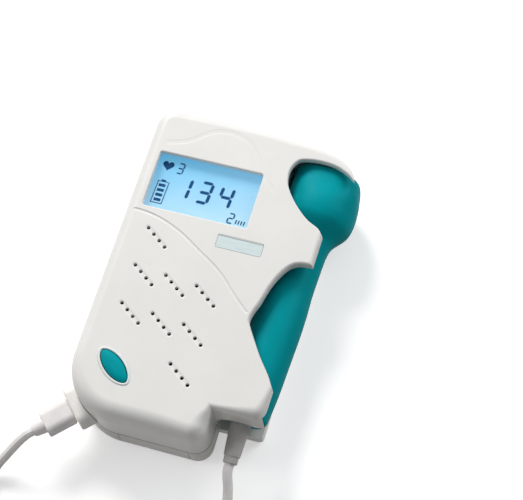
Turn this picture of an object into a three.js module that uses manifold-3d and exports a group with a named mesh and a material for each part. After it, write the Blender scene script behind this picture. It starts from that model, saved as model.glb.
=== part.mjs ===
// Pocket fetal doppler monitor with its docked probe and lead.
// Millimetres, +Z up. The monitor lies on its back: x runs right from the left edge,
// y runs up from the bottom end and z runs out of the front face.
import * as THREE from 'three';
import { mergeVertices } from 'three/addons/utils/BufferGeometryUtils.js';
import Module from 'manifold-3d';

const wasm = await Module();
wasm.setup();

// Driving dimensions
const gap = 0.3;
const overrun = 10;
const mergeTolerance = 0.0001;
const outlineTolerance = 0.01;
const roundSegments = 24;
const wall = 2;

const casing = {
  length: 136.5,
  footWidth: 60,
  thickness: 34,
  rearHeight: 12.4,
  frontRound: 4,
  backRound: 2.5,
  lowerLeftRadius: 22.5,
  upperLeftRadius: 8,
  footRadius: 6.5,
  wingRadius: 5,
  notchHeight: 14,
  wingInset: 8.1,
  tabInset: 6.7,
  floorInset: 10.5,
  wingThickness: 4,
  rimThickness: 2.6,
  reliefArchHeight: 23.2,
};
// Points of the top edge, as shares of the rim's reach and of the casing's length
const topEdgeShares = [
  [1, 0.8], [1, 0.855], [0.996, 0.884], [0.982, 0.911], [0.955, 0.934], [0.915, 0.952],
  [0.87, 0.964], [0.802, 0.974], [0.723, 0.981], [0.621, 0.987], [0.542, 0.993], [0.4, 0.998], [0.24, 1],
];

// The scoop and the pocket start this far right of the bay's left side, and their ends are
// shares of the casing's length
const scoop = { leftInset: 3.7, bottomShare: 0.1905, topShare: 0.5934 };
// Edge of the finger scoop, as shares of its depth and height
const scoopShares = [
  [1.05, 0], [0.935, 0.053], [0.8, 0.118], [0.5, 0.233], [0.24, 0.351], [0.04, 0.447], [0, 0.49],
  [0.04, 0.556], [0.12, 0.627], [0.23, 0.764], [0.375, 0.873], [0.55, 0.953], [0.76, 0.99], [1.1, 1],
];
const pocket = { leftInset: 1.2, rightInset: 1.9, bottomShare: 0.712, topShare: 0.929 };
// Edge of the pocket round the probe's head, as shares of its width and height
const pocketShares = [
  [0.93, -0.13], [0.81, -0.09], [0.713, 0], [0.52, 0.084], [0.35, 0.203], [0.209, 0.328],
  [0.071, 0.49], [0.008, 0.635], [0.004, 0.794], [0.079, 0.926], [0.197, 0.976], [0.425, 1],
  [0.7, 0.98], [0.925, 0.899], [1.1, 0.79],
];

const board = { thickness: 1.6, insetLeft: 4, insetRight: 4, bottom: 12, cornerCut: 20, topInset: 7.5 };
const display = {
  leftInset: 6.65,
  rightInset: 8.75,
  heightShare: 0.1857,
  topInsetShare: 0.156,
  lensMargin: 1.45,
  lensThickness: 1.4,
  panelThickness: 1.8,
  backlightThickness: 1.9,
  frameWall: 1.2,
  frameFloor: 1.5,
  frameHeight: 9.3,
};
const label = { belowWindow: 4.85, pastFoot: 0.6, width: 19.6, height: 6.2, recess: 0.9, thickness: 0.5 };

const powerButton = {
  x: 18.1,
  y: 20.2,
  length: 16.4,
  width: 7.6,
  turnDegrees: -38.5,
  proud: 1.3,
  flange: 1,
  flangeThickness: 1.4,
  travel: 0.8,
  lipWidth: 1.1,
  lipDepth: 0.8,
  lipProud: 0.5,
  padThickness: 2,
  switchSide: 6,
};
const sideButton = {
  belowDisplay: 6.9,
  pitch: 16,
  length: 11,
  height: 4.4,
  proud: 0.9,
  flange: 1,
  flangeThickness: 1,
  travel: 0.7,
  switchDepth: 4,
  switchLength: 6,
  switchHeight: 4.4,
};
const volume = {
  x: 7.2,
  topInset: 36.5,
  radius: 8.5,
  thickness: 3.2,
  ridges: 24,
  ridgeDepth: 0.5,
  shaftRadius: 1.6,
  shaftEnd: 0.4,
  bodySide: 8.4,
  bodyHeight: 2.2,
};
const jack = { height: 8, openingRadius: 3, barrel: 1, length: 12 };
const chargingJack = { x: 20, width: 9, boreRadius: 2.6, boreDepth: 9, pinRadius: 0.9 };
const headphoneJack = { x: 35, width: 8, boreRadius: 1.8, boreDepth: 10 };

const speaker = {
  xShare: 0.525,
  yShare: 0.41,
  radius: 19.5,
  rimThickness: 2.4,
  basketWall: 1,
  magnetRadius: 9,
  magnetHeight: 3,
  coneThickness: 0.6,
  coneInset: 2.2,
  coneDepth: 3.4,
};
const hole = { columnPitch: 13.35, columnDrop: 1.25, radius: 0.7, count: 4 };
// First hole and row pitch, as shares of the casing's foot width and length
const holeShares = { x: 0.21, y: 0.5883, rowPitch: 0.1245 };
const holeStep = { x: 3, y: -2.2 };
const holeSides = 8;
// Columns of holes that each row of the speaker panel has
const holeColumns = [[0], [0, 1, 2], [0, 1, 2], [2]];
const groove = { width: 0.8, depth: 0.45 };
// Lines moulded in the front face, as shares of the casing's foot width and length
const panelLineShares = [
  [0.06, 0.638], [0.168, 0.635], [0.287, 0.623], [0.435, 0.596], [0.592, 0.554],
  [0.723, 0.519], [0.817, 0.487], [0.907, 0.448], [0.99, 0.416],
];
const archLineShares = [
  [0.25, 0.886], [0.337, 0.913], [0.425, 0.937], [0.555, 0.952], [0.68, 0.939], [0.777, 0.917],
  [0.847, 0.879], [0.907, 0.841], [0.955, 0.81],
];

const battery = { radius: 7.2, length: 50.5, nubRadius: 2.7, nubHeight: 1.2, spacing: 14.7, count: 2 };
const holder = { centreInset: 22.5, bottom: 3.5, wall: 1.2, roof: 1.5 };
const contact = { thickness: 0.5, springRadius: 4, springLength: 3 };
const door = { grip: 1, gripDepth: 0.6, gripCount: 3, gripPitch: 4, gripShare: 0.5, gripPlace: 8 };

const screw = { headRadius: 2.4, headHeight: 1.6, sink: 0.6, shaftRadius: 1.2, reach: 4.6, postRadius: 3.2 };
const screwInset = { left: 9, upperLeft: 8.5, right: 10 };
// Heights of the lower left screw and of the two at the top end, as shares of the casing's length
const screwShares = { lower: 0.249, upper: 0.905 };

const socket = { rise: 4.6, radius: 6, length: 8, boreRadius: 3.8, boreDepth: 7 };
const plug = {
  collarWidth: 19,
  collarHeight: 9,
  collarProud: 4.6,
  barrelRadius: 3.4,
  barrelLength: 5.5,
  overmouldWidth: 11.5,
  overmouldHeight: 7,
  overmouldLength: 12,
  reliefLength: 5,
  reliefRadius: 2.6,
};

const probe = {
  headRadius: 15.3,
  handleRadius: 10.5,
  endInset: 7.7,
  wall: 1.8,
  baseHole: 4.9,
  lensThickness: 3,
  lensCrown: 0.9,
  discRadius: 7,
  discThickness: 2,
  backingThickness: 5,
  boardThickness: 1.6,
  boardLength: 40,
  boardInset: 15,
  standOut: 2.1,
};
// Outline of the probe, as shares of its length and of the handle's or the head's radius
const handleShares = [
  [0, 0.83], [0.011, 0.93], [0.033, 0.962], [0.13, 1], [0.245, 0.99], [0.351, 0.981],
  [0.442, 0.943], [0.527, 0.876], [0.66, 0.848], [0.686, 0.86],
];
const headShares = [
  [0.705, 0.605], [0.725, 0.645], [0.742, 0.715], [0.76, 0.805], [0.778, 0.895], [0.793, 0.95],
  [0.81, 0.982], [0.83, 1], [0.86, 1], [0.892, 0.985], [0.92, 0.965], [0.936, 0.95], [0.96, 0.935],
  [0.977, 0.91], [0.984, 0.86],
];
// Section of the probe's head, which turns flatter and squarer and leans left towards its end
const headSection = { roundUntil: 0.84, squareFrom: 0.936, power: 2.7, flattening: 0.073, lean: 1.5 };
const handleTangentShare = 0.13;
const headTangentShare = 0.828;
const lensRadiusShare = 0.72;
const saddleShares = [0.14, 0.6];
const saddleWidth = 3;

const relief = { rootRadius: 4.3, tipRadius: 2.9, length: 19, inside: 1.2, droopDegrees: 10, bandLength: 3 };

const lead = { diameter: 4, sides: 8, stepsPerRun: 26 };
const coil = {
  x: 38,
  y: -61,
  meanDiameter: 44,
  pitch: 4.9,
  turns: 7,
  exitDegrees: 145,
  stepsPerTurn: 24,
  sides: 6,
  layerHeight: 4.55,
  climbDip: 0.7,
};
const tie = { thickness: 0.7, width: 6 };
const coilLow = tie.thickness + gap + lead.diameter / 2;
// Route of the lead from the relief to the coil, chosen by hand
const probeRun = [
  [71.6, -9.5, 11], [72.6, -15, 8.2], [73.2, -20.5, 5.2], [73.2, -26, 3.1], [72.7, -32, 2.3],
  [71.8, -38, 2.2], [70.8, -44, 2.4], [70, -50, 2.8],
];
// Route of the lead from the coil to the plug, chosen by hand
const plugRun = [
  [4.8, -70.6, 6.2], [-1, -62.5, 4.3], [-7.5, -54, 2.8], [-14, -46, 2.2], [-19.5, -38.5, 2.2],
  [-22.8, -31, 2.4], [-22.5, -24.6, 4.2], [-19.2, -19.6, 8],
];

// Heights that follow from the driving dimensions
const plateUnderside = casing.thickness - wall;
const lensTop = plateUnderside - gap;
const frameBottom = lensTop - display.frameHeight;
const boardTop = frameBottom - gap;
const boardBottom = boardTop - board.thickness;
const socketHeight = casing.rearHeight + socket.rise;
const probeHeight = wall + gap + probe.headRadius;
const cradleHeight = probeHeight - probe.handleRadius - gap;
const wingUnderside = casing.thickness - casing.wingThickness;
const rimUnderside = casing.thickness - casing.rimThickness;

// Places in plan that follow from the driving dimensions
const bayLeft = casing.footWidth;
const rimReach = bayLeft + 2 * probe.headRadius - probe.standOut;
const wingReach = rimReach - casing.wingInset;
const tabReach = rimReach - casing.tabInset;
const floorReach = rimReach - casing.floorInset;
const bayBottom = casing.notchHeight + wall;
const pocketBottom = pocket.bottomShare * casing.length;
const windowBox = {
  left: display.leftInset,
  right: casing.footWidth - display.rightInset,
  top: casing.length * (1 - display.topInsetShare),
  bottom: casing.length * (1 - display.topInsetShare - display.heightShare),
};
const frameMargin = display.lensMargin + gap + display.frameWall;
const speakerPlace = { x: speaker.xShare * casing.footWidth, y: speaker.yShare * casing.length };
const probeBase = bayBottom + 3 * gap;
const probeLength = casing.length - probe.endInset - probeBase;
const handleTangentX = bayLeft + gap + probe.handleRadius;
const headTangentX = bayLeft + gap + probe.headRadius;
const probeSlope = (headTangentX - handleTangentX)
  / ((headTangentShare - handleTangentShare) * probeLength);
const probeTilt = Math.atan(probeSlope);
const probeBaseX = handleTangentX - probeSlope * handleTangentShare * probeLength;

// Materials
const finish = (color, roughness, metalness = 0) =>
  new THREE.MeshStandardMaterial({ color, roughness, metalness });
const whitePlastic = () => finish(0xe9e7e3, 0.45);
const tealPlastic = () => finish(0x00838a, 0.4);
const paleLip = () => finish(0xd6dcd8, 0.4);
const creamPlastic = () => finish(0xe2ddd2, 0.5);
const greyRubber = () => finish(0x8e8a8c, 0.7);
const leadJacket = () => finish(0xc9c5c6, 0.6);
const clearLens = () => finish(0xd9ecf2, 0.08);
const displayGlass = () => finish(0x8fd8f8, 0.25);
const whiteDiffuser = () => finish(0xf4f6f6, 0.5);
const blackPlastic = () => finish(0x222326, 0.55);
const greenBoard = () => finish(0x1f6b45, 0.5);
const steel = () => finish(0xb9bcc0, 0.3, 1);
const brass = () => finish(0xc7a65a, 0.35, 1);
const cellSleeve = () => finish(0x4c5a6b, 0.4);
const paleBlue = () => finish(0xd5e1e6, 0.4);
const ceramic = () => finish(0xe6e1d4, 0.5);

// Solids
function solid(geometry) {
  const bare = geometry.clone();
  bare.deleteAttribute('normal');
  bare.deleteAttribute('uv');
  const merged = mergeVertices(bare, mergeTolerance);
  const corners = [];
  for (let first = 0; first < merged.index.count; first += 3) {
    const [a, b, c] = [0, 1, 2].map((corner) => merged.index.getX(first + corner));
    if (a !== b && b !== c && c !== a) corners.push(a, b, c);
  }
  return new wasm.Manifold(new wasm.Mesh({
    numProp: 3,
    vertProperties: new Float32Array(merged.attributes.position.array),
    triVerts: new Uint32Array(corners),
  }));
}

function geometryOf(body) {
  const mesh = body.getMesh();
  const geometry = new THREE.BufferGeometry();
  geometry.setAttribute('position', new THREE.BufferAttribute(mesh.vertProperties, 3));
  geometry.setIndex(new THREE.BufferAttribute(mesh.triVerts, 1));
  geometry.computeVertexNormals();
  return geometry;
}

const cutFrom = (body, ...tools) => tools.reduce((rest, tool) => rest.subtract(tool), body);
const joined = (...bodies) => bodies.reduce((whole, body) => whole.add(body));

function block(low, high) {
  const size = high.map((value, axis) => value - low[axis]);
  const geometry = new THREE.BoxGeometry(...size);
  geometry.translate(...low.map((value, axis) => value + size[axis] / 2));
  return geometry;
}
const blockSolid = (low, high) => solid(block(low, high));

// Outline as plain points, each once
function plainOutline(shape, divisions) {
  const points = shape.getPoints(divisions)
    .filter((point, index, all) => index === 0 || point.distanceTo(all[index - 1]) > outlineTolerance);
  if (points[0].distanceTo(points[points.length - 1]) < outlineTolerance) points.pop();
  const plain = new THREE.Shape(points);
  plain.holes = shape.holes;
  return plain;
}

function slab(shape, low, high, divisions = roundSegments / 4) {
  const outline = plainOutline(shape, divisions);
  const geometry = new THREE.ExtrudeGeometry(outline, {
    depth: high - low, bevelEnabled: false, curveSegments: roundSegments / 4,
  });
  geometry.translate(0, 0, low);
  return geometry;
}

function roundedSlab(shape, low, high, radius, steps) {
  const outline = plainOutline(shape, roundSegments / 4);
  const geometry = new THREE.ExtrudeGeometry(outline, {
    depth: high - low - 2 * radius,
    bevelThickness: radius,
    bevelSize: radius,
    bevelOffset: -radius,
    bevelSegments: steps,
  });
  geometry.translate(0, 0, low + radius);
  return geometry;
}

// Turned piece: pairs of radius and distance along its axis, closed when it has a bore
function turned(pairs, segments = roundSegments) {
  const points = pairs.map(([radius, along]) => new THREE.Vector2(radius, along));
  const geometry = new THREE.LatheGeometry(points, segments);
  geometry.rotateX(Math.PI / 2);
  return geometry;
}
const rod = (radius, low, high, segments = roundSegments) =>
  turned([[0, low], [radius, low], [radius, high], [0, high]], segments);

// Turns a piece made along +Z so that it runs along a direction from a point
function aimed(geometry, from, direction) {
  const turn = new THREE.Quaternion().setFromUnitVectors(
    new THREE.Vector3(0, 0, 1), direction.clone().normalize());
  geometry.applyQuaternion(turn);
  geometry.translate(from.x, from.y, from.z);
  return geometry;
}

function ellipseShape(length, width, turnDegrees = 0) {
  const shape = new THREE.Shape();
  const turn = THREE.MathUtils.degToRad(turnDegrees);
  shape.absellipse(0, 0, length / 2, width / 2, 0, 2 * Math.PI, false, turn);
  return shape;
}

function pillShape(length, width) {
  const radius = width / 2;
  const half = length / 2 - radius;
  const shape = new THREE.Shape();
  shape.absarc(half, 0, radius, -Math.PI / 2, Math.PI / 2, false);
  shape.absarc(-half, 0, radius, Math.PI / 2, Math.PI * 3 / 2, false);
  shape.closePath();
  return shape;
}

function named(name, geometry, material) {
  const mesh = new THREE.Mesh(geometry, material);
  mesh.name = name;
  return mesh;
}

// Plan outlines of the casing, drawn in by an inset
const topEdgePoint = ([x, y], inset) =>
  new THREE.Vector2(x * rimReach, y * casing.length - inset);

function topEdgeHeight(x) {
  const points = topEdgeShares.map((shares) => topEdgePoint(shares, 0));
  const after = points.findIndex((point) => point.x <= x);
  const [right, left] = [points[after - 1], points[after]];
  return left.y + (right.y - left.y) * (x - left.x) / (right.x - left.x);
}

function leftSide(shape, inset) {
  const upper = casing.upperLeftRadius;
  const lower = casing.lowerLeftRadius;
  shape.absarc(upper, casing.length - upper, upper - inset, Math.PI / 2, Math.PI, false);
  shape.absarc(lower, lower, lower - inset, Math.PI, Math.PI * 3 / 2, false);
}

function casingOutline() {
  const shape = new THREE.Shape();
  const foot = casing.footRadius;
  const wing = casing.wingRadius;
  shape.moveTo(casing.lowerLeftRadius, 0);
  shape.absarc(casing.footWidth - foot, foot, foot, -Math.PI / 2, 0, false);
  shape.lineTo(casing.footWidth, casing.notchHeight);
  shape.absarc(wingReach - wing, casing.notchHeight + wing, wing, -Math.PI / 2, 0, false);
  shape.lineTo(tabReach, pocketBottom);
  const edge = topEdgeShares.map((shares) => topEdgePoint(shares, 0));
  new THREE.SplineCurve(edge).getPoints(2 * edge.length)
    .forEach((point) => shape.lineTo(point.x, point.y));
  leftSide(shape, 0);
  shape.closePath();
  return shape;
}

function electronicsOutline() {
  const shape = new THREE.Shape();
  const foot = casing.footRadius;
  const right = casing.footWidth - wall;
  shape.moveTo(casing.lowerLeftRadius, wall);
  shape.absarc(casing.footWidth - foot, foot, foot - wall, -Math.PI / 2, 0, false);
  shape.lineTo(right, topEdgeHeight(right) - wall);
  topEdgeShares.filter(([x]) => x * rimReach < right - wall)
    .forEach((shares) => shape.lineTo(...topEdgePoint(shares, wall).toArray()));
  leftSide(shape, wall);
  shape.closePath();
  return shape;
}

// Cutter whose left edge follows a table of shares and whose right side lies past the casing
function sideCutter(area, right, shares, low) {
  const left = bayLeft + area.leftInset;
  const [bottom, top] = [area.bottomShare * casing.length, area.topShare * casing.length];
  const place = ([x, y]) => new THREE.Vector2(left + x * (right - left), bottom + y * (top - bottom));
  const points = shares.map(place);
  const curve = new THREE.SplineCurve(points).getPoints(points.length * 2);
  const beyond = rimReach + overrun;
  const shape = new THREE.Shape();
  shape.moveTo(beyond, points[0].y);
  curve.forEach((point) => shape.lineTo(point.x, point.y));
  shape.lineTo(beyond, points[points.length - 1].y);
  shape.closePath();
  return solid(slab(shape, low, casing.thickness + overrun));
}

function grooveCutter(shares) {
  const points = shares.map(([x, y]) => new THREE.Vector2(x * casing.footWidth, y * casing.length));
  const line = new THREE.SplineCurve(points);
  const count = points.length * 2;
  const sides = [1, -1].map((side) => Array.from({ length: count + 1 }, (_, index) => {
    const tangent = line.getTangent(index / count);
    const offset = new THREE.Vector2(-tangent.y, tangent.x).multiplyScalar(side * groove.width / 2);
    return line.getPoint(index / count).add(offset);
  }));
  const shape = new THREE.Shape([...sides[0], ...sides[1].reverse()]);
  return solid(slab(shape, casing.thickness - groove.depth, casing.thickness + overrun));
}

// Places shared by the shells, the board and the screws
const cornerDirection = new THREE.Vector3(-1, -1, 0).normalize();
const cornerPoint = new THREE.Vector3(casing.lowerLeftRadius, casing.lowerLeftRadius, socketHeight)
  .addScaledVector(cornerDirection, casing.lowerLeftRadius);
const jackHeight = boardBottom - gap - jack.height / 2;
const volumeY = casing.length - volume.topInset;
const volumeTop = boardBottom - gap - volume.bodyHeight - gap;
const switchTop = boardTop + gap + sideButton.switchHeight;
const sideButtonHeight = boardTop + gap + sideButton.switchHeight / 2;
const cellsHalfWidth = battery.radius + battery.spacing * (battery.count - 1) / 2;
const holderCentre = casing.footWidth - holder.centreInset;
const holderInside = {
  left: holderCentre - cellsHalfWidth - gap,
  right: holderCentre + cellsHalfWidth + gap,
  bottom: holder.bottom + holder.wall,
  top: holder.bottom + holder.wall + battery.length + contact.springLength + 2 * contact.thickness + 4 * gap,
};

// One screw stands between the cells and the display, and the others near the casing's corners
const screwRight = casing.footWidth - screwInset.right;
const screwPlaces = [
  new THREE.Vector2(screwInset.left, screwShares.lower * casing.length),
  new THREE.Vector2(screwRight, (holderInside.top + windowBox.bottom - frameMargin) / 2),
  new THREE.Vector2(screwInset.upperLeft, screwShares.upper * casing.length),
  new THREE.Vector2(screwRight, screwShares.upper * casing.length),
];

// Cuts that leave the bay for the probe, open to the right
function bayCuts(floorOfHandle) {
  const beyond = rimReach + overrun;
  const neck = pocketBottom + gap;
  const topInside = topEdgeHeight(floorReach) - wall;
  return [
    blockSolid([bayLeft, bayBottom, floorOfHandle], [beyond, neck, wingUnderside]),
    blockSolid([bayLeft, neck - gap, wall], [beyond, topInside, rimUnderside]),
    blockSolid([floorReach, neck, wall], [beyond, casing.length + overrun, rimUnderside]),
    blockSolid([bayLeft, casing.notchHeight - overrun / 2, floorOfHandle],
      [beyond, bayBottom + gap, casing.reliefArchHeight]),
  ];
}

const socketCut = () => solid(aimed(
  rod(socket.radius + gap, -socket.length, overrun), cornerPoint, cornerDirection));
const volumeCut = () => solid(rod(volume.radius + gap, 0, volume.thickness + 2 * gap)
  .translate(volume.x, volumeY, volumeTop - volume.thickness - gap));

function screwBore(place, low, high, radius = screw.shaftRadius + gap) {
  return solid(rod(radius, low, high, roundSegments / 2).translate(place.x, place.y, 0));
}

function sideButtonSlab(size, from, to, y) {
  const geometry = slab(pillShape(sideButton.length + size, sideButton.height + size), from, to);
  geometry.rotateX(Math.PI / 2);
  geometry.rotateZ(Math.PI / 2);
  geometry.translate(0, y, sideButtonHeight);
  return geometry;
}

const modeButtonPlace = windowBox.bottom - frameMargin - sideButton.belowDisplay;
const sideButtonPlaces = [modeButtonPlace - sideButton.pitch, modeButtonPlace];
const powerShape = (margin) => ellipseShape(
  powerButton.length + 2 * margin, powerButton.width + 2 * margin, powerButton.turnDegrees);
const powerSlab = (margin, low, high) =>
  slab(powerShape(margin), low, high, roundSegments / 2).translate(powerButton.x, powerButton.y, 0);

const grown = (margin, low, high) => block(
  [windowBox.left - margin, windowBox.bottom - margin, low],
  [windowBox.right + margin, windowBox.top + margin, high]);

const labelBlock = (margin, low, high) => {
  const right = casing.footWidth + label.pastFoot;
  const top = windowBox.bottom - label.belowWindow;
  return blockSolid([right - label.width + margin, top - label.height + margin, low],
    [right - margin, top - margin, high]);
};

function speakerHoles() {
  const cutters = [];
  holeColumns.forEach((columns, row) => columns.forEach((column) => {
    for (let index = 0; index < hole.count; index += 1) {
      const x = holeShares.x * casing.footWidth + column * hole.columnPitch + index * holeStep.x;
      const y = (holeShares.y - row * holeShares.rowPitch) * casing.length
        - column * hole.columnDrop + index * holeStep.y;
      cutters.push(solid(rod(hole.radius, plateUnderside - overrun / 2, casing.thickness + overrun, holeSides)
        .translate(x, y, 0)));
    }
  }));
  return cutters;
}

function jackOpening(x) {
  const opening = rod(jack.openingRadius, 0, wall + 2 * overrun, roundSegments / 2);
  return solid(aimed(opening, new THREE.Vector3(x, casing.length - wall - overrun / 2, jackHeight),
    new THREE.Vector3(0, 1, 0)));
}

function frontShell() {
  const low = casing.rearHeight;
  let body = solid(roundedSlab(casingOutline(), -overrun, casing.thickness, casing.frontRound, 3));
  const below = blockSolid([-overrun, -overrun, -2 * overrun],
    [rimReach + overrun, casing.length + overrun, low]);
  body = cutFrom(body, below, solid(slab(electronicsOutline(), low - gap, plateUnderside)));
  const bosses = screwPlaces.map((place) => screwBore(
    place, boardTop + gap, plateUnderside + gap, screw.postRadius));
  body = joined(body, ...bosses);
  const bossTop = boardTop + gap + screw.reach + gap;
  body = cutFrom(body,
    ...bayCuts(low - gap),
    sideCutter(scoop, wingReach, scoopShares, low),
    sideCutter(pocket, rimReach - pocket.rightInset, pocketShares, low),
    ...screwPlaces.map((place) => screwBore(place, boardTop, bossTop)),
    solid(grown(0, low, casing.thickness + overrun)),
    solid(powerSlab(gap, low, casing.thickness + overrun)),
    solid(powerSlab(gap + powerButton.lipWidth, casing.thickness - powerButton.lipDepth,
      casing.thickness + overrun)),
    labelBlock(0, casing.thickness - label.recess, casing.thickness + overrun),
    ...sideButtonPlaces.map((y) => solid(sideButtonSlab(2 * gap, -overrun, wall + gap, y))),
    jackOpening(chargingJack.x),
    jackOpening(headphoneJack.x),
    socketCut(),
    volumeCut(),
    grooveCutter(panelLineShares),
    grooveCutter(archLineShares),
    ...speakerHoles());
  return geometryOf(body);
}

const doorBox = (margin) => ({
  left: holderInside.left + gap - margin,
  right: holderInside.right - gap + margin,
  top: holderInside.top - gap + margin,
});

function rearOuter() {
  const body = solid(roundedSlab(
    casingOutline(), 0, casing.thickness + overrun, casing.backRound, 2));
  const above = blockSolid([-overrun, -overrun, casing.rearHeight - gap],
    [rimReach + overrun, casing.length + overrun, casing.thickness + 2 * overrun]);
  const right = blockSolid([floorReach, -overrun, -overrun],
    [rimReach + overrun, casing.length + overrun, casing.thickness]);
  return cutFrom(body, above, right);
}

function rearShell() {
  const top = casing.rearHeight + overrun;
  let body = cutFrom(rearOuter(), solid(slab(electronicsOutline(), wall, top)));
  const posts = screwPlaces.map((place) => screwBore(
    place, wall - gap, boardBottom - gap, screw.postRadius));
  body = joined(body, ...posts);
  const opening = doorBox(gap);
  const tray = blockSolid([bayLeft + wall, bayBottom + wall, wall],
    [floorReach - wall, pocketBottom, cradleHeight + gap]);
  const saddles = saddleShares.map((share) => {
    const y = probeBase + share * probeLength;
    return blockSolid([bayLeft, y, wall - gap], [floorReach - wall / 2, y + saddleWidth, cradleHeight]);
  });
  const headRoom = screw.sink + screw.headHeight + gap;
  body = cutFrom(body,
    ...bayCuts(cradleHeight),
    tray,
    blockSolid([opening.left, -overrun, -overrun], [opening.right, opening.top, wall + gap]),
    blockSolid([opening.left, -overrun, -overrun], [opening.right, wall + gap, top]),
    ...screwPlaces.map((place) => screwBore(place, -overrun, boardBottom + gap)),
    ...screwPlaces.map((place) => screwBore(place, -overrun, headRoom, screw.headRadius + gap)),
    socketCut());
  return geometryOf(joined(body, ...saddles));
}

function batteryDoor() {
  const area = doorBox(0);
  const plate = blockSolid([area.left, -overrun, -overrun], [area.right, area.top, wall]);
  const lip = blockSolid([area.left, -overrun, -overrun], [area.right, wall, casing.rearHeight]);
  let body = rearOuter().intersect(joined(plate, lip));
  const width = (area.right - area.left) * door.gripShare;
  const left = (area.left + area.right - width) / 2;
  for (let index = 0; index < door.gripCount; index += 1) {
    const y = door.gripPlace + index * door.gripPitch;
    body = cutFrom(body, blockSolid([left, y, -overrun], [left + width, y + door.grip, door.gripDepth]));
  }
  return geometryOf(body);
}

function screwGeometry() {
  const head = screw.sink + screw.headHeight;
  return turned([[0, screw.sink], [screw.headRadius, screw.sink], [screw.headRadius, head],
    [screw.shaftRadius, head], [screw.shaftRadius, boardTop + gap + screw.reach],
    [0, boardTop + gap + screw.reach]], roundSegments / 2);
}

function mainBoard() {
  const right = casing.footWidth - board.insetRight;
  const top = casing.length - board.topInset;
  const shape = new THREE.Shape();
  shape.moveTo(board.insetLeft + board.cornerCut, board.bottom);
  shape.lineTo(right, board.bottom);
  shape.lineTo(right, top);
  shape.lineTo(board.insetLeft, top);
  shape.lineTo(board.insetLeft, board.bottom + board.cornerCut);
  shape.closePath();
  const holes = screwPlaces.map((place) => screwBore(place, 0, casing.thickness));
  return geometryOf(cutFrom(solid(slab(shape, boardBottom, boardTop)), ...holes));
}

function displayFrame() {
  const margin = display.lensMargin + gap;
  const panelDepth = display.lensThickness + display.panelThickness + display.backlightThickness + 3 * gap;
  const floorTop = lensTop - panelDepth;
  return geometryOf(cutFrom(solid(grown(margin + display.frameWall, frameBottom, lensTop)),
    solid(grown(margin, floorTop, lensTop + overrun)),
    solid(grown(margin, frameBottom - overrun, floorTop - display.frameFloor))));
}

function powerCap() {
  const flangeTop = plateUnderside - gap;
  const cap = slab(
    powerShape(0), flangeTop - powerButton.flangeThickness, casing.thickness, roundSegments / 2);
  const crown = new THREE.ExtrudeGeometry(powerShape(0), {
    depth: powerButton.proud / 2,
    bevelThickness: powerButton.proud / 2,
    bevelSize: powerButton.proud,
    bevelOffset: -powerButton.proud,
    bevelSegments: 2,
    curveSegments: roundSegments / 2,
  }).translate(0, 0, casing.thickness);
  const flange = slab(powerShape(powerButton.flange), flangeTop - powerButton.flangeThickness,
    flangeTop, roundSegments / 2);
  const body = joined(solid(cap), solid(crown), solid(flange));
  return geometryOf(body).translate(powerButton.x, powerButton.y, 0);
}

function buttonLip() {
  const low = casing.thickness - powerButton.lipDepth + gap;
  const high = casing.thickness + powerButton.lipProud;
  return geometryOf(cutFrom(solid(powerSlab(powerButton.lipWidth, low, high)),
    solid(powerSlab(gap, low - overrun, high + overrun))));
}

const padTop = plateUnderside - gap - powerButton.flangeThickness - powerButton.travel - gap;
const padBottom = padTop - powerButton.padThickness;

function powerSwitch() {
  const half = powerButton.switchSide / 2;
  return block([-half, -half, boardTop + gap], [half, half, padBottom - gap])
    .translate(powerButton.x, powerButton.y, 0);
}

function sideButtonCap(y) {
  const stem = sideButtonSlab(0, -sideButton.proud, wall + gap + sideButton.flangeThickness, y);
  const flange = sideButtonSlab(
    2 * sideButton.flange, wall + gap, wall + gap + sideButton.flangeThickness, y);
  return geometryOf(joined(solid(stem), solid(flange)));
}

function sideSwitch(y) {
  const left = wall + gap + sideButton.flangeThickness + sideButton.travel + gap;
  const half = sideButton.switchLength / 2;
  return block([left, y - half, boardTop + gap], [left + sideButton.switchDepth, y + half, switchTop]);
}

function volumeWheel() {
  const shape = new THREE.Shape();
  const count = volume.ridges * 2;
  for (let index = 0; index < count; index += 1) {
    const angle = 2 * Math.PI * index / count;
    const radius = volume.radius - (index % 2) * volume.ridgeDepth;
    const point = [radius * Math.cos(angle), radius * Math.sin(angle)];
    if (index === 0) shape.moveTo(...point);
    else shape.lineTo(...point);
  }
  shape.closePath();
  const bore = new THREE.Path();
  bore.absarc(0, 0, volume.shaftRadius + gap, 0, 2 * Math.PI, true);
  shape.holes.push(bore);
  return slab(shape, volumeTop - volume.thickness, volumeTop).translate(volume.x, volumeY, 0);
}

function volumePotentiometer() {
  const half = volume.bodySide / 2;
  const low = boardBottom - gap - volume.bodyHeight;
  const body = blockSolid([-half, -half, low], [half, half, boardBottom - gap]);
  const shaft = solid(rod(volume.shaftRadius, volumeTop - volume.thickness - volume.shaftEnd, low + gap));
  return geometryOf(joined(body, shaft)).translate(volume.x, volumeY, 0);
}

function jackGeometry(kind) {
  const face = casing.length - wall - jack.barrel;
  const half = kind.width / 2;
  const body = blockSolid([kind.x - half, face - jack.length, jackHeight - jack.height / 2],
    [kind.x + half, face, jackHeight + jack.height / 2]);
  const toTop = new THREE.Vector3(0, 1, 0);
  const mouth = new THREE.Vector3(kind.x, face, jackHeight);
  let whole = cutFrom(body, solid(aimed(rod(kind.boreRadius, -kind.boreDepth, overrun), mouth, toTop)));
  if (kind.pinRadius !== undefined) {
    const pin = rod(kind.pinRadius, -kind.boreDepth - jack.barrel, -jack.barrel, roundSegments / 2);
    whole = joined(whole, solid(aimed(pin, mouth, toTop)));
  }
  return geometryOf(whole);
}

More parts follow.
